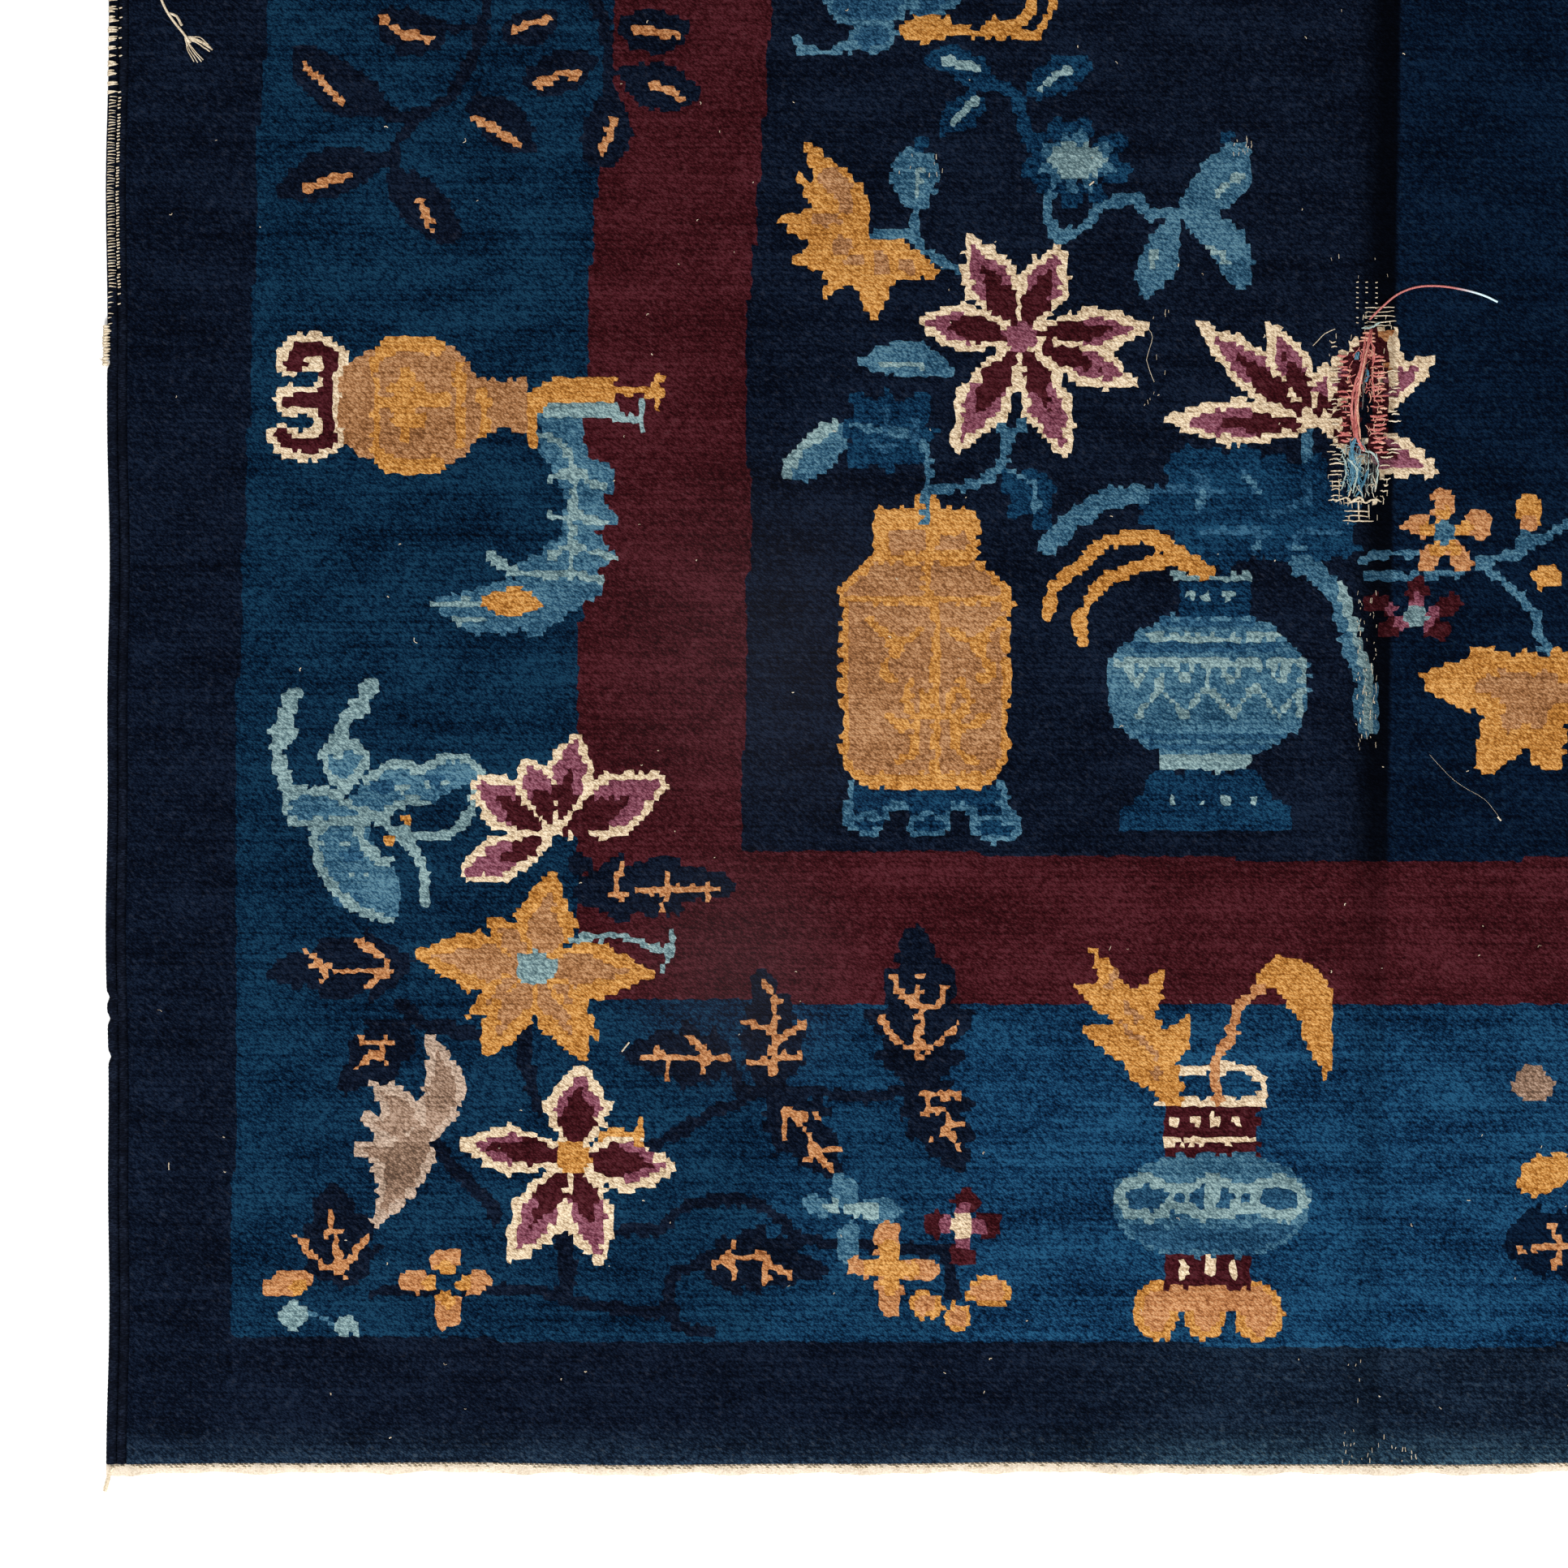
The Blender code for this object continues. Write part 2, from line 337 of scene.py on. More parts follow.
def weaveLyingVase():
    foot = [[(243, 1197), (228, 1209), (206, 1206), (198, 1196), (207, 1190)],
            [(240, 1195), (236, 1150), (240, 1112)], [(236, 1152), (196, 1152)],
            [(240, 1112), (222, 1104), (202, 1106), (187, 1113)]]
    drawStrokes(foot, 33, cream)
    drawStrokes(foot, 16, burgundy)
    drawSpots([(214, 1176), (208, 1129)], (13, 9), blue)
    body = [(0, 38), (22, 54), (58, 74), (95, 73), (133, 55), (148, 32), (162, 26), (200, 29)]
    drawTurned((251, 1147), 0, body, tan)
    drawTurned((251, 1147), 0, [(34, 62), (58, 75), (95, 74), (120, 62), (92, 52), (60, 52)], gold)
    drawTurned((251, 1147), 0, [(40, 46), (62, 58), (88, 58), (112, 46)], tan)
    for bar in (((373, 1100), (384, 1192)), ((400, 1112), (411, 1166)), ((451, 1101), (462, 1160))):
        drawBar(*bar, gold)
    drawStroke([(322, 1182), (322, 1112)], 15, gold)
    drawStroke([(300, 1150), (362, 1152)], 16, gold)
    drawSpots([(310, 1166), (338, 1168), (312, 1133), (336, 1130), (352, 1150)], (8, 7), gold)
    lip = [(452, 1161), (480, 1176), (500, 1178), (547, 1176), (547, 1152), (500, 1150), (480, 1138),
           (463, 1128), (463, 1101)]
    fillShape(lip, gold)
    drawStroke([(545, 1162), (592, 1162)], 7, gold)
    drawBar((587, 1140), (597, 1182), gold)


# water falls from the lying vase and ends in a leaf with a bud
def weaveSpill():
    fall = [(464, 1138), (480, 1150), (512, 1128), (518, 1092), (545, 1080), (546, 1054), (532, 1050),
            (553, 1022), (523, 1012), (552, 980), (528, 974), (537, 946), (500, 925), (448, 940),
            (436, 972), (470, 990), (488, 1010), (496, 1046), (484, 1070), (466, 1096)]
    fillShape(fall, sky)
    drawLeaf([(500, 962), (414, 926), (350, 934)], 56, sky, belly=0.5)
    drawLeaf([(505, 966), (478, 935), (450, 896)], 44, sky)
    drawStroke([(477, 1140), (520, 1143), (549, 1140)], 17, pale)
    drawStroke([(550, 1132), (574, 1132)], 8, pale)
    drawStroke([(576, 1150), (576, 1121)], 7, pale)
    drawBar((550, 1140), (562, 1156), burgundy)
    veins = [[(470, 1115), (490, 1105), (500, 1080), (501, 1030), (500, 960)],
             [(500, 1085), (518, 1066), (536, 1060)], [(500, 1078), (478, 1068)],
             [(502, 1032), (540, 1018)], [(501, 1024), (474, 1028)], [(500, 996), (476, 985)],
             [(500, 994), (545, 983)], [(500, 966), (531, 958)]]
    drawStrokes(veins, 8, pale)
    drawStroke([(411, 986), (430, 971), (462, 965), (500, 966)], 9, pale)
    drawStroke([(353, 934), (411, 934)], 7, pale)
    drawStroke([(372, 915), (402, 917)], 7, pale)
    drawLeaf([(400, 934), (435, 934), (470, 935)], 32, gold, belly=0.5, point=0.9)


def weaveButterfly():
    hindWing = [(226, 698), (224, 672), (232, 644), (249, 619), (273, 602), (304, 592), (317, 598),
                (315, 626), (306, 652), (288, 664), (276, 696)]
    foreWing = [(256, 716), (282, 744), (299, 757), (321, 761), (337, 752), (360, 765), (384, 766),
                (402, 751), (374, 731), (347, 718), (321, 718), (290, 702)]
    sideWing = [
        (188, 731), (234, 728), (269, 716), (290, 700), (260, 700), (234, 696), (207, 696), (192, 709),
    ]
    head = [(234, 774), (256, 782), (278, 768), (270, 748), (247, 739), (232, 756)]
    for wing in (hindWing, foreWing, sideWing, head):
        fillShape(curveThrough(wing, 5, closed=True), sky)
    drawSpots([(296, 735), (352, 742), (258, 612), (262, 662)], (15, 7), mid)
    veins = [
        hindWing[:6], [(270, 700), (274, 678), (284, 662), (302, 654)], foreWing[1:8],
        [(262, 700), (292, 704), (321, 719), (345, 719)], [(186, 733), (234, 729), (262, 716), (296, 698)],
        [(192, 728), (192, 708), (208, 696), (262, 699)], head[:4] + [(262, 741)],
        [(233, 772), (237, 752), (252, 736)], [(264, 744), (250, 724)],
    ]
    drawStrokes(veins, 10, pale)
    for feeler in (
        [(199, 835), (191, 812), (184, 796), (183, 770), (190, 748), (197, 728)],
        [(284, 846), (270, 822), (254, 805), (247, 788), (247, 774)],
    ):
        drawStroke(feeler, 19, pale, 15)
    drawStroke([(182, 786), (200, 790)], 11, pale)
    drawStroke([(252, 808), (270, 812)], 10, pale)
    drawStroke([(306, 692), (324, 672), (342, 642), (340, 609)], 10, pale)
    drawStroke([(306, 690), (340, 682), (366, 684), (388, 704), (400, 738)], 11, pale)
    drawSpots([(318, 734), (346, 738), (364, 740), (252, 672), (290, 668), (278, 640), (262, 640)], (5, 4),
              pale)
    drawSpots([(319, 700), (302, 676)], (5.5, 5), gold)


sideHalfFlower = [(203, 112, 54, 0.42), (146, 106, 64, 0.56), (110, 88, 62, 0.48), (76, 112, 60, 0.50),
                  (27, 136, 70, 0.54)]
goldFlower = [(79, 106, 74, 0.60), (132, 74, 56, 0.66), (173, 134, 70, 0.66), (215, 92, 40, 0.5),
              (239, 114, 58, 0.56), (299, 116, 58, 0.56), (312, 100, 44, 0.5), (358, 128, 64, 0.60)]
mauveFlower = [(85, 101, 76, 0.60), (173, 126, 58, 0.60), (239, 134, 64, 0.50), (285, 124, 60, 0.46),
               (354, 112, 68, 0.62)]


def weaveCornerFlowers():
    drawStroke([(449, 487), (449, 450), (456, 415), (466, 385)], 18, navy, 12)
    drawStroke([(318, 500), (336, 482), (362, 476), (400, 468)], 16, navy)
    drawStroke([(353, 350), (378, 318), (408, 290), (420, 268)], 15, navy)
    drawStroke([(492, 250), (496, 215), (490, 190)], 20, navy)
    drawSpot((478, 668), (26, 16), blue)
    drawFlower((481, 683), sideHalfFlower, mauve, cream, burgundy, 8, 6, belly=0.62, point=0.85, tip=0.6)
    leaf = ([(500, 622), (590, 628), (680, 632)], 84,
            [[(540, 621), (600, 625), (662, 626)], [(554, 649), (548, 630), (554, 612)],
             [(601, 641), (601, 605)], [(646, 634), (646, 618)]])
    drawSpot((508, 652), (14, 12), navy)
    drawVeinedLeaves([leaf], lobes=3, depth=0.42, belly=0.45, point=0.5, tip=0.6)
    drawFlower((461, 540), goldFlower, gold, gold, tan, 8, 5, belly=0.52, point=0.8, tip=0.8)
    drawSpot((461, 540), (24, 17), pale)
    drawStroke([(498, 569), (525, 575), (554, 574), (577, 565), (603, 558)], 8, pale)
    drawStroke([(608, 578), (606, 558), (598, 538)], 9, pale)
    drawFlower((502, 336), mauveFlower, mauve, cream, burgundy, 9.5, 7, 0.13, belly=0.58, point=0.85,
               tip=0.75)
    drawSpot((502, 336), (19, 18), gold)
    drawStroke([(529, 359), (548, 362), (572, 360)], 7, gold)
    drawStroke([(574, 373), (570, 350)], 8, gold)


sideLeaves = [
    ([(330, 545), (255, 540), (172, 536)], 84,
     [[(308, 534), (260, 538), (215, 542)], [(213, 560), (232, 540), (226, 520)],
      [(271, 570), (299, 545), (279, 518)]]),
    ([(322, 484), (292, 448), (250, 408)], 78,
     [[(302, 462), (285, 448), (268, 431)], [(275, 463), (294, 458)], [(300, 436), (290, 448)]]),
    ([(262, 196), (250, 240), (240, 308)], 100,
     [[(254, 205), (246, 240), (240, 277)], [(248, 214), (222, 227), (204, 250)],
      [(250, 218), (266, 230), (276, 248)], [(236, 255), (250, 254)]]),
]


def weaveCornerSprig():
    drawVeinedLeaves(sideLeaves, lobes=3, depth=0.36, belly=0.45, point=0.55, tip=0.6)
    brownLobes = [[(343, 355), (360, 402), (358, 439), (341, 473), 50],
                  [(348, 374), (321, 332), (308, 298), (286, 260), 58], [(342, 366), (281, 416), 42],
                  [(334, 361), (269, 378), 38], [(330, 336), (260, 346), 38], [(330, 372), (303, 416), 30],
                  [(322, 318), (278, 322), 26]]
    drawLobes(brownLobes, taupe, fawn, 8, lobes=3, depth=0.10, belly=0.45, point=0.55, tip=0.8)
    drawLeaf([(164, 193), (192, 200), (222, 206)], 30, rust, belly=0.5, point=0.7)
    drawSpot((207, 196), (10, 8), gold)
    drawSpot((200, 166), (17, 14), pale)
    drawStroke([(214, 170), (240, 158)], 4, sky)
    drawSpot((258, 155), (14, 10), pale)
    drawStroke([(285, 190), (345, 194), (410, 195), (470, 190), (505, 180), (560, 172), (612, 168)], 12,
               navy)
    drawSpot((365, 200), (15, 12), blue)
    petals = [(92, 27, (14, 17), gold), (176, 32, (19, 12), gold), (4, 30, (19, 12), gold),
              (272, 30, (19, 16), gold)]
    drawSmallFlower((365, 200), petals, rust, blue, 9)
    drawSpot((366, 244), (5, 5), blue)


endLeaves = [
    ([(674, 440), (615, 446), (553, 446)], 84,
     [[(575, 443), (620, 444), (668, 443)], [(591, 455), (602, 440), (604, 425)],
      [(628, 464), (645, 446), (640, 429)]]),
    ([(714, 410), (716, 470), (704, 540)], 88,
     [[(714, 430), (719, 470), (719, 505), (708, 522)], [(688, 480), (711, 474)],
      [(748, 480), (730, 468), (719, 456)], [(692, 438), (713, 441)], [(716, 443), (748, 446)]]),
    ([(872, 408), (876, 490), (870, 588)], 128,
     [[(874, 442), (875, 490), (876, 534)], [(834, 485), (848, 464), (872, 452)],
      [(916, 482), (899, 463), (877, 450)], [(848, 529), (854, 512), (873, 500)],
      [(905, 520), (897, 503), (879, 495)]]),
    ([(716, 404), (748, 366), (788, 314)], 88,
     [[(731, 389), (752, 367), (762, 345), (779, 321)], [(737, 384), (770, 378)], [(731, 386), (730, 352)],
      [(764, 344), (788, 345)], [(762, 345), (751, 332)]]),
    ([(868, 418), (898, 372), (922, 318)], 92,
     [[(879, 403), (915, 403)], [(885, 402), (881, 379)], [(884, 388), (903, 385), (907, 366), (919, 341)],
      [(890, 356), (905, 366)], [(921, 370), (908, 369)]]),
    ([(640, 214), (704, 226), (778, 212)], 84,
     [[(649, 221), (668, 226), (706, 230), (712, 221), (733, 210)], [(675, 244), (670, 228), (677, 204)],
      [(708, 228), (708, 204)]]),
]
endStems = [
    ([(587, 349), (617, 365), (653, 385), (682, 396), (700, 407)], 13),
    ([(700, 407), (755, 407), (803, 401), (832, 402), (866, 407)], 12),
    ([(671, 440), (679, 414), (690, 405)], 12),
    ([(555, 257), (591, 257), (617, 279), (653, 290), (693, 288), (719, 275), (741, 254), (773, 244),
      (813, 241), (865, 237), (900, 235)], 13),
    ([(900, 237), (907, 217), (912, 186)], 16),
    ([(602, 172), (606, 199), (617, 214), (645, 222)], 13),
    ([(604, 172), (615, 155), (650, 150)], 12),
]


def weaveEndBranch():
    for points, width in endStems:
        drawStroke(points, width, navy)
    drawVeinedLeaves(endLeaves, lobes=4, depth=0.4, belly=0.42, point=0.5, tip=0.65)
    pearl = [(110, 22, (19, 15), None), (172, 36, (19, 11), pale), (358, 30, (24, 14), pale),
             (264, 34, (24, 12), None)]
    drawSmallFlower((802, 279), pearl, sky, pale, 7)
    garnet = [(turn, 29, (14, 15), mauve) for turn in (82, 172, 3, 268)]
    drawSmallFlower((921, 261), garnet, burgundy, cream, 12)
    for end, width in (((841, 256), 25), ((886, 215), 23), ((805, 218), 20), ((843, 178), 26)):
        drawStroke([(842, 216), end], width, rust)
    for end in ((841, 238), (866, 215), (822, 217), (842, 196)):
        drawStroke([(842, 216), end], 19, gold)
    for centre, radii in (((881, 177), (18, 15)), ((917, 163), (15, 17)), ((950, 192), (24, 18))):
        drawSpot(centre, radii, rust, 0, gold, 6)


def weaveEndVase():
    for centre, radii in (((1131, 171), (25, 32)), ((1184, 171), (23, 30)), ((1241, 170), (27, 33))):
        drawSpot(centre, radii, rust, 0, gold, 9)
    drawBar((1135, 172), (1240, 196), rust)
    drawBar((1140, 196), (1232, 232), burgundy)
    drawSpots([(1159, 216), (1188, 219), (1213, 217)], (6, 12), cream)
    body = [(230, 42), (238, 66), (252, 92), (272, 104), (290, 107), (308, 104), (320, 88), (332, 60),
            (340, 44)]
    drawTurned((1190, 0), 90, body, sky)
    drawTurned((1190, 0), 90, [(234, 44), (246, 74), (262, 94), (266, 80), (262, 40)], mid)
    drawTurned((1190, 0), 90, [(272, 96), (290, 97), (309, 94), (309, 90)], mid)
    for across, radii, hole in ((1119, (35, 25), (22, 14)), (1262, (34, 25), (20, 13)),
                                (1191, (36, 25), (24, 15))):
        drawSpot((across, 292), radii, pale)
        drawSpot((across, 292), hole, mid)
    for across, radii in ((1155, (13, 17)), (1227, (14, 18)), (1191, (8, 19))):
        drawSpot((across, 292), radii, pale)
    drawSpots([(1155, 292), (1227, 292)], (5, 8), mid)
    drawBar((1139, 339), (1241, 392), burgundy)
    drawBar((1139, 350), (1239, 357), cream)
    drawSpots([(1149, 376), (1172, 376), (1195, 376), (1217, 376)], (6, 6), cream)
    drawStroke([(1134, 396), (1243, 396)], 9, cream)
    drawStroke([(1155, 427), (1185, 431), (1217, 433), (1240, 425), (1248, 408), (1236, 398)], 10, cream)
    drawStroke([(1197, 400), (1195, 445), (1210, 464), (1217, 494), (1231, 511), (1246, 522)], 11, rust)
    drawLeaf([(1238, 525), (1274, 532), (1301, 492), (1315, 414)], 50, gold, belly=0.40, point=0.5, lobes=4,
             depth=0.08, tip=0.8)
    leftLobes = [[(1154, 388), (1124, 448), (1092, 506), (1057, 565), 56], [(1100, 498), (1040, 521), 38],
                 [(1124, 446), (1046, 479), 44], [(1096, 486), (1122, 510), (1136, 539), 42],
                 [(1116, 436), (1146, 458), (1167, 490), 42], [(1130, 420), (1092, 450), 40]]
    drawLobes(leftLobes, gold, lobes=3, depth=0.12, belly=0.42, point=0.6, tip=0.85)
    marks = [[(1086, 534), (1080, 518)], [(1098, 500), (1112, 484)], [(1130, 446), (1116, 462)],
             [(1134, 420), (1128, 432)], [(1104, 466), (1094, 480)]]
    drawStrokes(marks, 8, tan)


def weaveEndEdge():
    drawSpot((1537, 414), (22, 20), taupe)
    drawLeaf([(1522, 300), (1548, 318), (1584, 330)], 40, gold, belly=0.45, point=0.6)
    leaf = ([(1505, 236), (1566, 244), (1640, 226)], 92,
            [[(1524, 236), (1580, 240), (1622, 232)], [(1556, 262), (1566, 240), (1560, 216)],
             [(1592, 258), (1602, 238)]])
    drawVeinedLeaves([leaf], lobes=3, depth=0.36, belly=0.42, point=0.5)


fieldFlower = [(4, 140, 54, 0.54), (338, 138, 52, 0.52), (291, 143, 58, 0.44), (240, 144, 62, 0.54),
               (171, 116, 56, 0.60), (118, 124, 64, 0.56), (66, 110, 60, 0.56)]
darnedFlower = [(178, 166, 54, 0.50), (140, 172, 54, 0.56), (116, 126, 50, 0.55), (84, 70, 40, 0.45),
                (58, 128, 50, 0.4), (30, 144, 54, 0.5), (338, 142, 52, 0.5)]


def weaveFieldLeaves():
    stalk = [(884, 1053), (884, 1091), (872, 1113), (838, 1118), (804, 1128)]
    drawStroke(stalk, 10, sky)
    foliage = [
        [(838, 1116), (800, 1162), 40], [(842, 1118), (838, 1166), 34], [(850, 1116), (886, 1162), 40],
        [(846, 1112), (896, 1118), 36], [(840, 1112), (884, 1084), 34], [(838, 1116), (842, 1072), 34],
        [(834, 1116), (796, 1078), 38], [(836, 1118), (782, 1124), 34],
    ]
    drawLobes(foliage, blue, belly=0.5, point=0.6, lobes=3, depth=0.15, tip=0.8)
    drawStroke(stalk, 9, sky)
    drawStrokes([[(838, 1140), (842, 1108)], [(822, 1104), (850, 1102)], [(872, 1130), (868, 1110)]], 8, mid)
    drawLeaf([(790, 1130), (768, 1092), (730, 1070)], 38, sky, belly=0.45, point=0.6)
    drawStroke([(784, 1126), (758, 1112), (738, 1090), (733, 1074)], 12, pale)
    drawStroke([(886, 1056), (913, 1058), (942, 1064), (961, 1080), (969, 1100), (966, 1128)], 11, sky)
    drawStroke([(968, 1108), (990, 1130)], 11, sky)
    hanging = [(966, 1076), (1000, 1078), (1016, 1070), (1024, 1054), (1014, 1040), (1016, 1014),
               (1000, 1010), (990, 1034), (978, 1022), (966, 1030), (974, 1050), (960, 1056)]
    fillShape(hanging, blue)
    drawStroke([(972, 1076), (992, 1066), (1000, 1048), (998, 1030)], 8, sky)
    drawLeaf([(915, 1180), (870, 1196), (808, 1193)], 38, sky, belly=0.5, point=0.7)
    drawStroke([(836, 1190), (878, 1190)], 7, pale)


def weaveGoldLeaf():
    lobes = [[(798, 1306), (788, 1372), (749, 1433), 62], [(794, 1334), (718, 1348), 46],
             [(802, 1311), (735, 1304), 46], [(798, 1308), (773, 1263), 34], [(824, 1318), (827, 1234), 52],
             [(812, 1312), (900, 1288), 50], [(800, 1330), (744, 1398), 40]]
    drawLobes(lobes, gold, lobes=4, depth=0.14, belly=0.42, point=0.6, tip=0.85)
    drawSpot((811, 1312), (22, 20), gold)
    for centre, radii, turn in (((782, 1388), (14, 19), 60), ((795, 1364), (10, 10), 0),
                                ((776, 1347), (15, 6), 0), ((792, 1320), (14, 8), 30),
                                ((806, 1302), (12, 7), 0), ((834, 1301), (10, 13), 0),
                                ((861, 1297), (9, 7), 0)):
        drawSpot(centre, radii, tan, turn)
    drawStroke([(826, 1330), (850, 1332), (869, 1329), (880, 1314), (900, 1302), (920, 1292)], 10, sky)


def weaveFieldSprays():
    for spine, width, vein in (
        ([(960, 1496), (915, 1518), (878, 1520)], 36, [(900, 1521), (918, 1514), (938, 1510)]),
        ([(990, 1484), (1022, 1500), (1060, 1519)], 42, [(1007, 1490), (1018, 1500), (1037, 1508)]),
        ([(950, 1478), (925, 1466), (895, 1442)], 38, [(914, 1453), (922, 1464), (937, 1476)]),
    ):
        drawLeaf(spine, width, blue, belly=0.5, point=0.6, lobes=3, depth=0.2)
        drawStroke(vein, 9, pale)
    drawStroke([(925, 1498), (950, 1492), (979, 1482), (986, 1452), (1001, 1426), (1015, 1412)], 15, blue)
    for turn in (112, 82, 32, 342, 296, 262, 230, 192, 152):
        out = heading(turn) * (1.25, 1)
        root, tip = (1045, 1410) + out * 16, (1045, 1410) + out * 50
        drawLeaf([root, tip], 25, blue, belly=0.6, point=0.5)
        drawLeaf([root, root + (tip - root) * 0.55], 14, sky, belly=0.5, point=0.5)
    drawSpot((1045, 1411), (31, 19), pale)
    drawStroke([(1015, 1372), (1013, 1352), (1023, 1328)], 13, sky)
    drawSpot((871, 1394), (27, 31), sky)
    drawLeaf([(871, 1375), (871, 1357)], 30, sky)
    drawLeaf([(872, 1418), (882, 1438)], 16, blue)
    drawStroke([(874, 1396), (873, 1376)], 9, pale)
    drawStroke([(872, 1362), (870, 1328), (880, 1314), (908, 1296)], 10, sky)
    drawStroke([(1023, 1328), (1048, 1337), (1077, 1364), (1106, 1370), (1126, 1353), (1150, 1353),
                (1190, 1338)], 12, sky)
    for spine, width, vein in (
        ([(1158, 1354), (1196, 1384), (1228, 1430)], 54, [(1196, 1374), (1208, 1386), (1220, 1394)]),
        ([(1152, 1350), (1136, 1312), (1118, 1262)], 42, [(1128, 1312), (1126, 1298)]),
        ([(1160, 1350), (1204, 1324), (1228, 1272)], 44, [(1186, 1318), (1200, 1312), (1206, 1298)]),
    ):
        drawLeaf(spine, width, sky, belly=0.55, point=0.6)
        drawStroke(vein, 8, pale)
    drawLeaf([(1205, 1428), (1212, 1446)], 14, blue)


def weaveFieldFlowers():
    drawFlower((984, 1221), fieldFlower, mauve, cream, burgundy, 9, 6.5, belly=0.60, point=0.85, tip=0.7)
    drawSpot((984, 1221), (18, 15), mauve)
    drawStroke([(1293, 1116), (1296, 1076)], 14, sky)
    mass = [(1142, 1092), (1170, 1103), (1202, 1099), (1218, 1084), (1250, 1092), (1300, 1080),
            (1332, 1062), (1345, 1020), (1342, 986), (1296, 976), (1240, 982), (1186, 974), (1158, 986),
            (1148, 1012), (1118, 1026), (1106, 1056), (1146, 1062)]
    fillShape(mass, blue)
    crown = [
        [(1180, 1060), (1158, 1104), 50], [(1190, 1060), (1136, 1080), 34],
        [(1240, 1060), (1212, 1106), 50], [(1260, 1050), (1262, 1100), 46],
        [(1290, 1050), (1308, 1098), 44], [(1180, 1040), (1096, 1052), 30],
        [(1180, 1020), (1104, 1024), 26], [(1300, 1030), (1352, 1040), 36], [(1300, 1000), (1356, 992), 30],
    ]
    drawLobes(crown, blue, belly=0.5, point=0.6, lobes=3, depth=0.2, tip=0.8)
    darker = [[(1110, 1054), (1150, 1056), (1200, 1056)], [(1172, 1076), (1186, 1054), (1176, 1034)],
              [(1226, 1074), (1240, 1052)], [(1184, 1008), (1216, 1012), (1250, 1012)],
              [(1246, 1030), (1276, 1034), (1292, 1050)], [(1236, 990), (1244, 1004)],
              [(1276, 992), (1288, 1010), (1330, 1010)], [(1292, 1064), (1298, 1044)]]
    lighter = [[(1228, 1070), (1240, 1054)], [(1180, 1052), (1176, 1038)], [(1236, 990), (1243, 1000)],
               [(1280, 992), (1290, 992)]]
    drawStrokes(darker, 8, mid)
    drawStrokes(lighter, 7, sky)
    drawFlower((1306, 1125), darnedFlower, mauve, cream, burgundy, 9, 6.5, belly=0.60, point=0.85, tip=0.75)
    drawStroke([(1014, 995), (1035, 1018), (1056, 1033), (1075, 1046), (1112, 1050)], 22, sky)


def weaveGoldVase():
    profile = [(733, 60), (738, 70), (762, 90), (951, 92), (981, 58), (1037, 56)]
    drawTurned((881, 0), 90, profile, tan, gold, 8)
    drawBar((829, 976), (937, 1036), gold)
    drawBar((842, 988), (880, 1012), tan)
    drawBar((896, 990), (926, 1008), tan)
    drawBar((870, 1030), (900, 1048), gold)
    drawStroke([(882, 1056), (882, 1022)], 9, sky)
    drawStroke([(792, 938), (972, 936)], 9, gold)
    drawStroke([(893, 938), (893, 738)], 9, gold)
    drawStroke([(882, 976), (884, 940)], 8, gold)
    for side in (-1, 1):
        for scroll in (
            [(16, 905), (36, 893), (60, 905), (72, 918)], [(36, 893), (52, 872), (60, 858), (46, 850)],
            [(24, 850), (34, 826), (20, 806), (36, 800), (52, 812)], [(16, 838), (12, 812)],
            [(22, 796), (26, 772), (42, 764)],
            [(58, 900), (44, 880)],
        ):
            drawStroke([(893 + side * across, along) for across, along in scroll], 9, gold)


def weaveStand():
    drawBar((799, 704), (968, 736), blue)
    for centre, radii in (((818, 696), (25, 13)), ((886, 695), (26, 14)), ((957, 690), (28, 15))):
        drawSpot(centre, radii, blue, 0, sky, 7)
    for arch in (852, 919):
        drawSpot((arch, 702), (18, 17), sky)
        drawSpot((arch, 698), (12, 14), navy)
    drawStroke([(802, 738), (797, 702)], 8, sky)
    drawStroke([(964, 740), (968, 712), (984, 696)], 10, sky)
    drawTurned((881, 0), 90, [(733, 58), (738, 70), (750, 80)], gold)


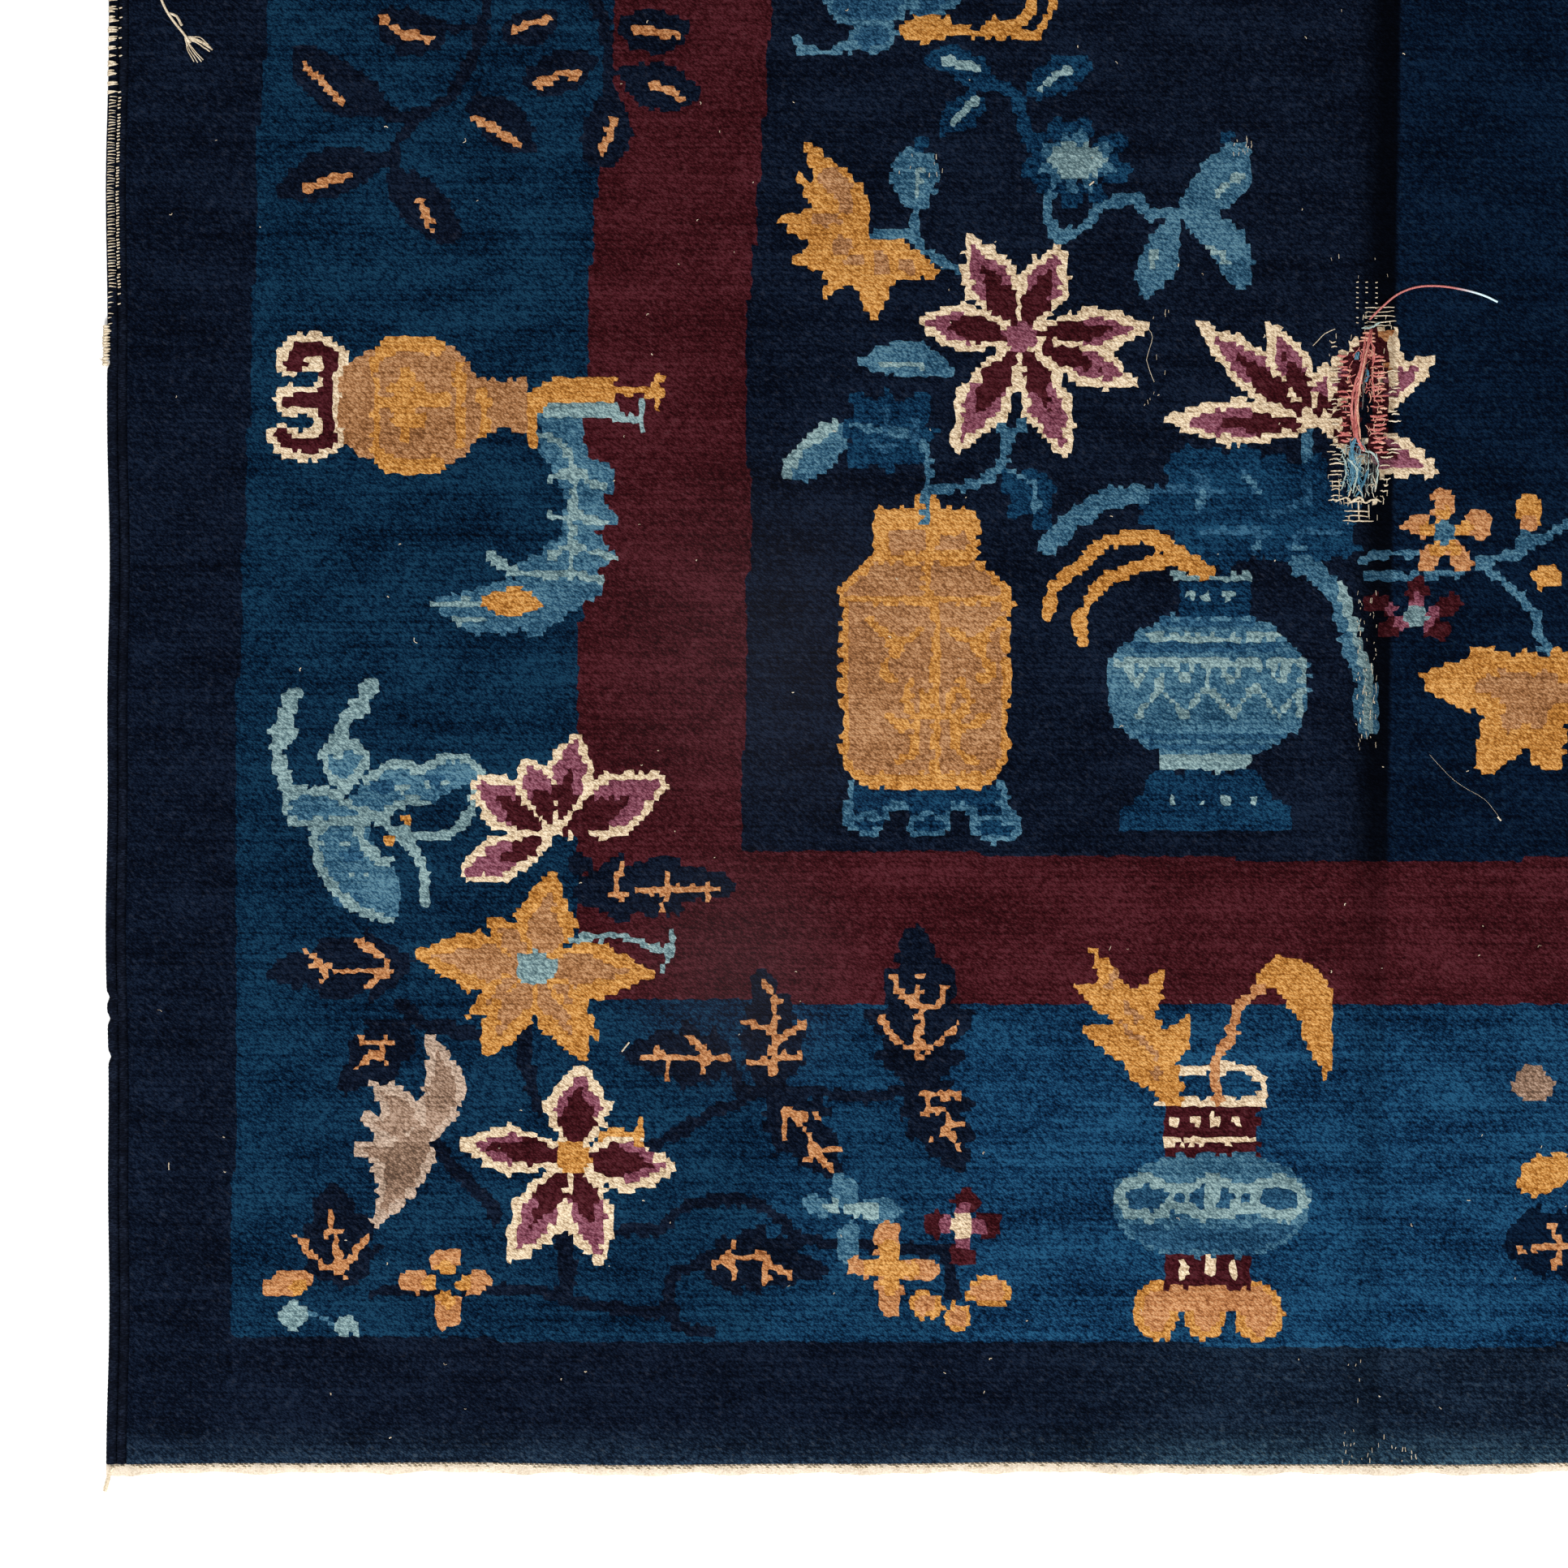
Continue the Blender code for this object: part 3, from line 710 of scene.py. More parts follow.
def weaveBlueVase():
    drawTurned((1183, 0), 90, [(688, 94), (712, 92), (722, 74), (740, 64), (752, 55)], blue)
    drawSpots([(1146, 721), (1177, 721), (1204, 721), (1235, 721)], (5, 4), pale)
    body = [(771, 55), (781, 74), (791, 88), (803, 102), (820, 108), (867, 110), (880, 100), (888, 92),
            (904, 76), (912, 60), (922, 40)]
    drawTurned((1187, 0), 90, body, sky)
    for low, high, half in ((774, 782, 66), (786, 792, 84), (882, 890, 88), (908, 916, 56)):
        drawTurned((1187, 0), 90, [(low, half * 0.86), (high, half)], mid)
    drawStroke([(1118, 899), (1140, 897), (1190, 896), (1250, 898), (1262, 901)], 8, pale)
    drawStroke([(1086, 869), (1130, 872), (1190, 870), (1290, 870)], 8, pale)
    for k in range(4):
        low, high = 1110 + 51 * k, 1135 + 51 * k
        fret = [[(low, 811), (high, 845)], [(high, 845), (min(high + 26, 1284), 811)],
                [(high, 868), (high, 845)], [(low - 12, 868), (low, 847)], [(low, 847), (low + 12, 868)]]
        drawStrokes(fret, 6, pale)
    drawBar((1135, 753), (1229, 771), pale)
    drawBar((1155, 920), (1231, 962), blue)
    drawStroke([(1149, 962), (1230, 962)], 7, pale)
    drawSpots([(1165, 942), (1187, 942), (1209, 942)], (6, 6), pale)
    drawStroke([(1205, 966), (1205, 976)], 12, blue)
    drawStroke([(1013, 920), (1020, 948), (1049, 975), (1082, 1001), (1115, 1006), (1146, 994), (1168, 974),
                (1184, 968)], 14, gold, 17)
    drawStroke([(1050, 893), (1049, 915), (1061, 941), (1086, 963), (1115, 975), (1148, 982)], 14, gold, 15)
    drawStroke([(1284, 975), (1306, 964), (1326, 942), (1337, 910), (1346, 880), (1356, 850), (1358, 800)],
               22, sky, 24)
    drawStroke([(1330, 950), (1346, 900), (1358, 850), (1360, 800)], 11, pale)


def weaveRightSpray():
    drawStroke([(1351, 981), (1391, 987), (1420, 986)], 9, sky)
    drawStroke([(1358, 962), (1405, 962), (1456, 966), (1470, 977), (1497, 981), (1522, 986), (1540, 1000),
                (1576, 1018), (1630, 1030)], 10, sky)
    drawStroke([(1522, 988), (1532, 1016)], 9, sky)
    drawStroke([(1476, 976), (1511, 951), (1537, 922), (1543, 897), (1560, 870)], 10, sky)
    blossom = [(92, 30, (20, 13), gold), (166, 31, (17, 12), gold), (14, 38, (17, 15), gold),
               (240, 29, (18, 12), gold), (302, 30, (19, 12), gold)]
    drawSmallFlower((1441, 1009), blossom, rust, sky, 12)
    drawSpot((1533, 1034), (15, 20), gold)
    drawSpot((1533, 1020), (9, 8), rust)
    drawSpot((1551, 962), (17, 13), gold)
    garnet = [(85, 28, (14, 12), mauve), (162, 44, (16, 11), mauve), (20, 36, (17, 11), mauve),
              (206, 27, (17, 11), mauve), (330, 25, (16, 11), mauve)]
    drawSmallFlower((1410, 919), garnet, burgundy, pale, 12)
    # a gold leaf of several lobes from one middle, with a paler heart along each
    middle = np.array((1530, 838))
    lobes = [((1416, 852), 66), ((1470, 884), 46), ((1530, 884), 50), ((1480, 750), 62), ((1560, 752), 60),
             ((1640, 830), 66), ((1600, 880), 50)]
    for tip, width in lobes:
        drawLeaf([middle, tip], width, gold, belly=0.35, point=0.6, lobes=3, depth=0.18)
    drawSpot(middle, (24, 24), gold)
    for tip, width in lobes:
        drawLeaf([middle, middle + (tip - middle) * 0.5], width * 0.42, tan, belly=0.5, point=0.7)


# only its lower wings show in the photograph, and the rest is finished plainly
def weaveFieldButterfly():
    for wing in (
        [(768, 1600), (780, 1568), (806, 1556), (850, 1560), (862, 1600), (840, 1680), (800, 1700),
         (770, 1660)],
        [(862, 1600), (872, 1560), (905, 1572), (940, 1620), (950, 1680), (900, 1690), (868, 1650)],
    ):
        fillShape(curveThrough(wing, 5, closed=True), mid, sky, 7)
    drawSpot((824, 1545), (25, 19), mid, 0, sky, 6)
    drawSpot((868, 1590), (7, 24), sky)
    drawStroke([(741, 1542), (752, 1530), (776, 1527), (792, 1534), (802, 1532)], 10, sky)
    drawLeaf([(850, 1548), (885, 1554), (912, 1556)], 30, gold, belly=0.55, point=0.6)
    drawStroke([(905, 1552), (940, 1549), (972, 1552), (992, 1570), (996, 1600), (985, 1640)], 11, gold)
    drawStroke([(950, 1560), (975, 1560)], 10, gold)
    drawStroke([(975, 1548), (998, 1546), (1010, 1556), (1017, 1578), (1019, 1600), (1012, 1640)], 9, gold)


def weaveSeenCorner():
    weaveBranch()
    weaveLyingVase()
    weaveSpill()
    weaveButterfly()
    weaveCornerSprig()
    weaveCornerFlowers()
    weaveEndBranch()
    weaveEndVase()
    weaveEndEdge()
    weaveFieldLeaves()
    weaveGoldLeaf()
    weaveFieldSprays()
    weaveFieldFlowers()
    weaveGoldVase()
    weaveStand()
    weaveBlueVase()
    weaveRightSpray()
    weaveFieldButterfly()


# Where each border ends, in millimetres from the nearest side or end, at places along it.
sideLines = {
    "at": [150, 560, 800, 1000, 1235, 1410, 1584],
    "navy": [132, 141, 139, 147, 157, 160, 174],
    "blue": [524, 508, 505, 513, 516, 529, 546],
    "burgundy": [676, 681, 686, 692, 689, 704, 716],
}
endLines = {
    "at": [137, 531, 956, 1300, 1574],
    "navy": [142, 140, 137, 134, 130],
    "blue": [507, 507, 500, 499, 499],
    "burgundy": [670, 670, 663, 656, 660],
}


def groundWool():
    across, along = np.meshgrid(columnMm, rowMm)
    alongHalf = np.minimum(along, lengthMm - along)
    acrossHalf = np.minimum(across, widthMm - across)
    ground = np.full(across.shape, navy)
    for band, wool in (("burgundy", burgundy), ("blue", blue), ("navy", navy)):
        fromSide = acrossHalf < np.interp(alongHalf, sideLines["at"], sideLines[band])
        fromEnd = alongHalf < np.interp(acrossHalf, endLines["at"], endLines[band])
        ground[fromSide | fromEnd] = wool
    return ground


# The pile's top, as the CAD body has it: a slow swell, less the old fold and the worn place.
pileForm = {
    "top": 0.0110,
    "foundationTop": 0.0035,
    "swell": 0.0006,
    "swellTurns": (3.1, 1.3, 2.3, 0.9),  # radians a metre
    "foldDepth": 0.0028,
    "foldHalfWidth": 0.016,
    "wearMiddle": -0.007,
    "wearHalfWidth": 0.017,
    "wearStart": (-0.762, -0.745),
    "wearEnd": (-0.540, -0.520),
    "wearDepth": 0.0062,
}
sideWaves = [{"swing": 0.0014, "count": 5.0, "start": 0.7}, {"swing": 0.0008, "count": 13.0, "start": 2.1}]
endWaves = [{"swing": 0.0012, "count": 4.0, "start": 1.1}, {"swing": 0.0006, "count": 9.0, "start": 0.3}]
edgeBulge = {"side": 0.0020, "end": 0.0062, "power": 24}  # past the plain rectangle


def smoothBump(distance, halfWidth):
    return 0.5 + 0.5 * np.cos(math.pi * np.minimum(1.0, np.abs(distance) / halfWidth))


def wearAt(x, y):
    start, end = pileForm["wearStart"], pileForm["wearEnd"]
    along = np.clip((y - start[0]) / (start[1] - start[0]), 0, 1)
    along = along * np.clip((end[1] - y) / (end[1] - end[0]), 0, 1)
    return along * smoothBump(x - pileForm["wearMiddle"], pileForm["wearHalfWidth"])


def pileHeight(x, y):
    a, b, c, d = pileForm["swellTurns"]
    swell = pileForm["swell"] * np.sin(a * x + b * y) * np.cos(c * y - d * x)
    fold = pileForm["foldDepth"] * smoothBump(x, pileForm["foldHalfWidth"])
    height = pileForm["top"] + swell - fold - pileForm["wearDepth"] * wearAt(x, y)
    return np.maximum(pileForm["foundationTop"], height)


def waves(table, share):
    return sum(w["swing"] * np.sin(math.tau * w["count"] * share + w["start"]) for w in table)


def sideShift(y, side):
    return edgeBulge["side"] + waves(sideWaves, 0.5 + side * y / rug["length"])


def endShift(x, end):
    return edgeBulge["end"] + waves(endWaves, 0.5 + end * x / rug["width"])


# 1 at the edge, falling fast inside it
def edgeShare(place, half):
    return abs(place / half) ** edgeBulge["power"]


# a point of the plain rectangle, moved to where the wavy sides and ends put it
def followEdges(x, y):
    side, end = np.sign(x), np.sign(y)
    across = x + side * sideShift(y, side) * edgeShare(x, bodyHalfWidth)
    along = y + end * endShift(x, end) * edgeShare(y, bodyHalfLength)
    return across, along


# from the design's millimetres to metres on the rug
def onRug(u, v):
    return u / 1000 - rug["width"] / 2, v / 1000 - rug["length"] / 2


def meshPiece(name, points, faces):
    mesh = bpy.data.meshes.new(name)
    mesh.from_pydata([tuple(p) for p in points], [], faces)
    mesh.update()
    piece = bpy.data.objects.new(name, mesh)
    bpy.context.scene.collection.objects.link(piece)
    makeActive(piece)
    return piece


def faceOutward():
    bpy.ops.mesh.select_all(action="SELECT")
    bpy.ops.mesh.normals_make_consistent(inside=False)


# a closed form whose edges are sharp past an angle in degrees
def solidPiece(name, points, faces, sharpAngle):
    piece = meshPiece(name, points, faces)
    bpy.ops.object.mode_set(mode="EDIT")
    faceOutward()
    bpy.ops.object.mode_set(mode="OBJECT")
    bpy.ops.object.shade_smooth_by_angle(angle=math.radians(sharpAngle))
    return piece


# quads between rings of points that follow one another, and a cap at each end
def ringFaces(rings, size, first=0):
    faces = []
    for k in range(rings - 1):
        a, b = first + k * size, first + (k + 1) * size
        faces.extend((a + s, a + (s + 1) % size, b + (s + 1) % size, b + s) for s in range(size))
    last = first + (rings - 1) * size
    return [*faces, [first + s for s in reversed(range(size))], [last + s for s in range(size)]]


def finishPiece(piece, material):
    piece.data.materials.clear()
    piece.data.materials.append(material)
    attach(piece, "root")
    return piece


# Loose yarns on the pile, along the CAD's own routes.
looseYarns = {
    "darning_yarn_tail_wool": {
        "node": "darning_yarn_tail",
        "slot": "darning_yarn",
        "diameter": 0.0022,
        "stiffness": "limp",
        "route": [(-0.010, -0.541), (0.003, -0.528), (0.020, -0.514), (0.041, -0.506), (0.066, -0.505),
                  (0.092, -0.509), (0.113, -0.515), (0.128, -0.522)],
    },
    "loose_cotton_thread_spun": {
        "node": "loose_cotton_thread",
        "slot": "cotton_web",
        "diameter": 0.0026,
        "stiffness": "limp",
        "route": [(-1.340, -0.128), (-1.330, -0.152), (-1.320, -0.176), (-1.313, -0.194), (-1.306, -0.209),
                  (-1.297, -0.222), (-1.288, -0.233), (-1.281, -0.243)],
    },
}
yarnReach = 0.012  # a yarn lies as high as the highest pile this near
yarnSteps = 5


def yarnLine(route, radius):
    flat = curveThrough(route, yarnSteps)
    steps = (-yarnReach, 0.0, yarnReach)
    line = []
    for x, y in flat:
        height = max(float(pileHeight(x + i, y + j)) for i in steps for j in steps)
        line.append((x, y, height + radius + rug["gap"]))
    return line


def addLooseYarn(name, yarn, material):
    line = yarnLine(yarn["route"], yarn["diameter"] / 2)
    curve = bpy.data.curves.new(name, "CURVE")
    curve.dimensions = "3D"
    curve.bevel_depth = yarn["diameter"] / 2
    curve.bevel_resolution = 3
    curve.use_fill_caps = True
    spline = curve.splines.new("POLY")
    spline.points.add(len(line) - 1)
    for point, place in zip(spline.points, line):
        point.co = (*place, 1.0)
    curve.materials.append(material)
    piece = bpy.data.objects.new(name, curve)
    bpy.context.scene.collection.objects.link(piece)
    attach(piece, "root")
    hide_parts(yarn["node"])


# Materials: every one is node-based and reads Object coordinates.
def newMaterial(name):
    material = bpy.data.materials.new(name)
    material.use_nodes = True
    tree = material.node_tree
    return material, tree, addNode(tree, "ShaderNodeTexCoord").outputs["Object"]


def addNode(tree, kind, values=None, **settings):
    made = tree.nodes.new(kind)
    for key, value in settings.items():
        setattr(made, key, value)
    for key, value in (values or {}).items():
        if isinstance(value, bpy.types.NodeSocket):
            tree.links.new(value, made.inputs[key])
        else:
            made.inputs[key].default_value = value
    return made


def mathStep(tree, operation, first, second=0.0, third=0.0):
    values = {0: first, 1: second, 2: third}
    return addNode(tree, "ShaderNodeMath", values, operation=operation).outputs[0]


def times(tree, first, second):
    return mathStep(tree, "MULTIPLY", first, second)


# a mix node's sockets 6 and 7 are its two colours
def mixColours(tree, share, first, second, blend="MIX"):
    values = {0: share, 6: first, 7: second}
    return addNode(tree, "ShaderNodeMix", values, data_type="RGBA", blend_type=blend).outputs[2]


def mapped(tree, source, scale, turn=(0.0, 0.0, 0.0), shift=(0.0, 0.0, 0.0)):
    values = {"Vector": source, "Scale": scale, "Rotation": turn, "Location": shift}
    return addNode(tree, "ShaderNodeMapping", values).outputs[0]


def noiseAt(tree, source, scale, detail=2.0, roughness=0.5, dimensions="3D"):
    values = {"Vector": source, "Scale": scale, "Detail": detail, "Roughness": roughness}
    return addNode(tree, "ShaderNodeTexNoise", values, noise_dimensions=dimensions).outputs[0]


def rampAt(tree, share, stops):
    ramp = addNode(tree, "ShaderNodeValToRGB", {0: share})
    elements = ramp.color_ramp.elements
    for k, (place, colour) in enumerate(stops):
        element = elements[k] if k < 2 else elements.new(place)
        element.position = place
        element.color = (*colour, 1.0)
    return ramp.outputs[0]


# 0 to 1 between two values, with soft ends
def spread(tree, value, low, high):
    values = {0: value, 1: low, 2: high, 3: 0.0, 4: 1.0}
    return addNode(tree, "ShaderNodeMapRange", values, interpolation_type="SMOOTHSTEP").outputs[0]


# a colour multiplied by a tint that goes from one to another
def tinted(tree, colour, share, first, second):
    tint = rampAt(tree, share, [(0.0, first), (1.0, second)])
    return mixColours(tree, 1.0, colour, tint, "MULTIPLY")


# noise drawn out along a thread that lies at an angle
def threadTone(tree, place, scale, turn):
    return noiseAt(tree, mapped(tree, place, scale, turn=(0.0, 0.0, turn)), 1.0, 3.0, 0.6)


def finishShader(tree, colour, roughness, specular=0.5, height=None, bumpDistance=0.0):
    shader = tree.nodes["Principled BSDF"]
    tree.links.new(colour, shader.inputs["Base Color"])
    shader.inputs["Roughness"].default_value = roughness
    shader.inputs["Specular IOR Level"].default_value = specular
    if height is not None:
        values = {"Height": height, "Strength": 0.8, "Distance": bumpDistance}
        tree.links.new(addNode(tree, "ShaderNodeBump", values).outputs[0], shader.inputs["Normal"])


# Wool colours: the dark, middle and light of each, and how strongly it is streaked and mottled.
woolLooks = {
    # a wool's "fold" is how deep the painted shade along the fold is
    "navy": {"tones": [(0.0005, 0.0011, 0.0033), (0.0016, 0.0037, 0.0112), (0.006, 0.013, 0.032)],
             "streak": 0.8, "mottle": 0.6, "fuzz": 0.05, "fold": 0.9, "ends": (2.9, 3.2, 2.5),
             "thisSide": (1.0, 0.9, 0.82), "pastFold": (0.5, 0.94, 1.0), "foldEnd": (1.8, 2.0, 1.7)},
    "blue": {"tones": [(0.0005, 0.0037, 0.012), (0.0034, 0.025, 0.07), (0.016, 0.09, 0.182)],
             "streak": 1.0, "mottle": 0.66, "fuzz": 0.02, "fade": (0.39, 0.78)},
    "burgundy": {"tones": [(0.011, 0.0014, 0.0022), (0.031, 0.004, 0.0058), (0.068, 0.013, 0.0185)],
                 "streak": 0.9, "mottle": 0.66, "fuzz": 0.04},
    "gold": {"tones": [(0.15, 0.048, 0.0068), (0.355, 0.144, 0.027), (0.61, 0.33, 0.108)],
             "streak": 0.4, "mottle": 0.4, "fuzz": 0.06},
    "tan": {"tones": [(0.105, 0.04, 0.013), (0.25, 0.107, 0.04), (0.46, 0.255, 0.128)],
            "streak": 0.45, "mottle": 0.55, "fuzz": 0.06},
    "cream": {"tones": [(0.22, 0.14, 0.08), (0.5, 0.375, 0.24), (0.76, 0.64, 0.47)],
              "streak": 0.3, "mottle": 0.3, "fuzz": 0.04},
    "mauve": {"tones": [(0.05, 0.0095, 0.018), (0.145, 0.039, 0.06), (0.275, 0.108, 0.148)],
              "streak": 0.45, "mottle": 0.4, "fuzz": 0.06},
    "rust": {"tones": [(0.15, 0.048, 0.015), (0.34, 0.135, 0.048), (0.53, 0.285, 0.138)],
             "streak": 0.4, "mottle": 0.5, "fuzz": 0.05},
    "sky": {"tones": [(0.0045, 0.022, 0.046), (0.021, 0.072, 0.124), (0.088, 0.19, 0.25)],
            "streak": 0.6, "mottle": 0.75, "fuzz": 0.05},
    "mid": {"tones": [(0.0016, 0.01, 0.026), (0.0075, 0.036, 0.078), (0.034, 0.108, 0.18)],
            "streak": 0.6, "mottle": 0.65, "fuzz": 0.04},
    "pale": {"tones": [(0.04, 0.074, 0.086), (0.112, 0.18, 0.194), (0.27, 0.38, 0.38)],
             "streak": 0.5, "mottle": 0.6, "fuzz": 0.05},
    "taupe": {"tones": [(0.07, 0.042, 0.028), (0.19, 0.113, 0.074), (0.39, 0.27, 0.2)],
              "streak": 0.6, "mottle": 0.9, "fuzz": 0.05},
    "fawn": {"tones": [(0.14, 0.095, 0.068), (0.325, 0.23, 0.17), (0.54, 0.415, 0.33)],
             "streak": 0.35, "mottle": 0.4, "fuzz": 0.05},
}
dustSpots = [  # where the photograph shows a grey bloom on the pile
    {"at": (-0.655, -0.900), "reach": 0.26, "share": 0.07},
    {"at": (-0.690, -1.240), "reach": 0.17, "share": 0.10},
]
woolGrain = {
    "fadeFrom": 1.14,               # past here along the rug the blue is more faded
    "fadeTo": 1.36,
    "dust": (0.070, 0.062, 0.068),
    "tuftSlant": 0.60,              # radians that a tuft leans
    "tuftScale": (300.0, 620.0),
    "fibreScale": (900.0, 2300.0),
    "wanderScale": 60.0,            # how the rows of knots wander
    "wander": 0.9,                  # in knots
    "streakScale": (2.6, 130.0),
    "mottleScale": (8.0, 19.0),
    "speckScale": (110.0, 260.0),
    "bumpDistance": 0.0011,
    "foldSlope": 0.0152,            # metres across for each metre along
    "foldShade": 0.42,
}


# where the colours and the painted shade along the fold change over the rug: across from its middle or fold,
# along from its middle
drift = {
    # the band of painted shade along the fold, and how it deepens toward the rug's ends
    "shadeStripStart": (-0.026, 0.012),
    "shadeStripEnd": (0.030, 0.024),
    "shadeStripAlong": (1.50, 1.00),
    "fadeAcross": (0.56, 0.42),
    "fadeField": (0.70, 0.64),
    "pastFold": (0.020, 0.032),
    "fieldAlong": (1.64, 1.60),
    "borderAcross": (-0.40, -0.08),
    "borderAlong": (1.60, 1.64),
    "rugEnd": (1.725, 1.785),
}


# the scale of a pattern that doesn't change with height
def flat(scale):
    return (scale[0], scale[1], 0.0)


# a tone that each part moves up or down by its share
def weighted(tree, start, parts):
    tone = start
    for value, share in parts:
        tone = mathStep(tree, "MULTIPLY_ADD", mathStep(tree, "SUBTRACT", value, 0.5), share, tone)
    return tone


# the tufts' height and tone: rows of knots that wander a little, slanting tufts and their fibres. The tufts'
# height and the rows' ridge also lift the tone, so tuft tops carry a painted highlight and the gaps between
# tufts and rows painted shade
def woolGrainNodes(tree, place, look):
    wander = noiseAt(tree, place, woolGrain["wanderScale"], 1.0, dimensions="2D")
    lean = times(tree, mathStep(tree, "SUBTRACT", wander, 0.5), woolGrain["wander"])
    leaning = addNode(tree, "ShaderNodeCombineXYZ", {0: lean, 1: lean, 2: 0.0}).outputs[0]
    grid = mapped(tree, place, (1 / knotWidth, 1 / knotLength, 0.0),
                  shift=(bodyHalfWidth / knotWidth, bodyHalfLength / knotLength, 0.0))
    bent = addNode(tree, "ShaderNodeVectorMath", {0: grid, 1: leaning}, operation="ADD").outputs[0]
    inCell = addNode(tree, "ShaderNodeVectorMath", {0: bent}, operation="FRACTION").outputs[0]
    cell = addNode(tree, "ShaderNodeVectorMath", {0: bent}, operation="FLOOR").outputs[0]
    knotTone = addNode(tree, "ShaderNodeTexWhiteNoise", {"Vector": cell}, noise_dimensions="2D").outputs[0]
    row = addNode(tree, "ShaderNodeSeparateXYZ", {0: inCell}).outputs[1]
    ridge = spread(tree, mathStep(tree, "ABSOLUTE", mathStep(tree, "MULTIPLY_ADD", row, 2.0, -1.0)), 1.0, 0.3)
    turned = mapped(tree, place, (1.0, 1.0, 0.0), turn=(0.0, 0.0, woolGrain["tuftSlant"]))
    tuftPlace = mapped(tree, turned, flat(woolGrain["tuftScale"]))
    tuft = addNode(tree, "ShaderNodeTexVoronoi", {"Vector": tuftPlace, "Scale": 1.0}, voronoi_dimensions="2D")
    tuftHigh = spread(tree, tuft.outputs["Distance"], 0.80, 0.10)
    tuftTone = addNode(tree, "ShaderNodeSeparateColor", {0: tuft.outputs["Color"]}).outputs[0]
    fibre = noiseAt(tree, mapped(tree, turned, flat(woolGrain["fibreScale"])), 1.0, 1.0, 0.6, "2D")
    # streaks of dye along the wefts, and softer patches
    streak = noiseAt(tree, mapped(tree, place, flat(woolGrain["streakScale"])), 1.0, 3.0, 0.65, "2D")
    mottle = noiseAt(tree, mapped(tree, place, flat(woolGrain["mottleScale"])), 1.0, 4.0, 0.62, "2D")
    speck = noiseAt(tree, mapped(tree, turned, flat(woolGrain["speckScale"])), 1.0, 2.0, 0.6, "2D")
    # tuftHigh and ridge here are painted highlight and shade; the other parts are dye and fibre tone
    parts = ((knotTone, 0.10), (streak, 0.6 * look["streak"]), (mottle, 1.35 * look["mottle"]), (speck, 1.0),
             (tuftHigh, 0.42), (tuftTone, 0.34), (fibre, 0.45), (ridge, 0.13))
    height = mathStep(tree, "MULTIPLY_ADD", ridge, 0.30, times(tree, tuftHigh, 0.60))
    return weighted(tree, 0.5, parts), speck, mathStep(tree, "MULTIPLY_ADD", fibre, 0.30, height)


def woolMaterial(woolName):
    look = woolLooks[woolName]
    material, tree, place = newMaterial("wool_" + woolName)
    tone, speck, height = woolGrainNodes(tree, place, look)
    dark, middle, light = look["tones"]
    colour = rampAt(tree, tone, [(0.08, dark), (0.95, light), (0.48, middle)])
    # broken fibre ends catch the light
    fuzz = times(tree, spread(tree, speck, 0.58, 0.78), look["fuzz"])
    fuzzTone = tuple(0.6 * c + 0.12 for c in light)
    colour = mixColours(tree, fuzz, colour, (*fuzzTone, 1.0))
    # the fold runs a little aslant, and a dark band along it is painted shade
    sides = addNode(tree, "ShaderNodeSeparateXYZ", {0: place}).outputs
    fromMiddle, along = mathStep(tree, "ABSOLUTE", sides[0]), mathStep(tree, "ABSOLUTE", sides[1])
    pastFold = mathStep(tree, "MULTIPLY_ADD", sides[1], -woolGrain["foldSlope"], sides[0])
    started = spread(tree, pastFold, *drift["shadeStripStart"])
    foldShadeStrip = times(tree, started, spread(tree, pastFold, *drift["shadeStripEnd"]))
    foldShadeStrip = times(tree, foldShadeStrip, look.get("fold", woolGrain["foldShade"]))
    toEnd = mathStep(tree, "MULTIPLY_ADD", spread(tree, along, *drift["shadeStripAlong"]), 0.65, 0.35)
    colour = mixColours(tree, times(tree, foldShadeStrip, toEnd), colour, (*[0.4 * c for c in dark], 1.0))
    if "fade" in look:
        toSide = mathStep(tree, "MULTIPLY_ADD", spread(tree, fromMiddle, *drift["fadeAcross"]), 0.82, 0.14)
        atEnd = times(tree, spread(tree, along, woolGrain["fadeFrom"], woolGrain["fadeTo"]), toSide)
        inField = times(tree, spread(tree, fromMiddle, *drift["fadeField"]), 0.50)
        low, high = look["fade"]
        colour = tinted(tree, colour, mathStep(tree, "MAXIMUM", atEnd, inField), (low,) * 3, (high,) * 3)
    if "pastFold" in look:
        past = spread(tree, pastFold, *drift["pastFold"])
        inField = times(tree, past, spread(tree, along, *drift["fieldAlong"]))
        colour = tinted(tree, colour, inField, look["thisSide"], look["pastFold"])
        nearFold = spread(tree, pastFold, *drift["borderAcross"])
        inBorder = times(tree, nearFold, spread(tree, along, *drift["borderAlong"]))
        colour = tinted(tree, colour, inBorder, (1.0,) * 3, look["foldEnd"])
    if "ends" in look:
        atEnd = spread(tree, along, *drift["rugEnd"])
        colour = tinted(tree, colour, atEnd, (1.0,) * 3, look["ends"])
    for spot in dustSpots:
        values = {0: place, 1: (*spot["at"], pileForm["top"])}
        away = addNode(tree, "ShaderNodeVectorMath", values, operation="DISTANCE").outputs["Value"]
        near = times(tree, spread(tree, away, spot["reach"], 0.0), spot["share"])
        colour = mixColours(tree, near, colour, (*woolGrain["dust"], 1.0))
    finishShader(tree, colour, 0.92, 0.02, height, woolGrain["bumpDistance"])
    return material


# A spun yarn or web of one colour: threads along X, Y or a slant, with soft dirt.
def spunMaterial(name, tones, threadScale=(900.0, 900.0, 900.0), turn=0.0, bump=0.0006):
    material, tree, place = newMaterial(name)
    thread = threadTone(tree, place, threadScale, turn)
    dirt = mathStep(tree, "SUBTRACT", noiseAt(tree, place, 60.0, 3.0, 0.6), 0.5)
    dark, middle, light = tones
    tone = mathStep(tree, "MULTIPLY_ADD", dirt, 0.5, thread)
    colour = rampAt(tree, tone, [(0.22, dark), (0.80, light), (0.50, middle)])
    finishShader(tree, colour, 0.9, 0.05, thread, bump)
    return material


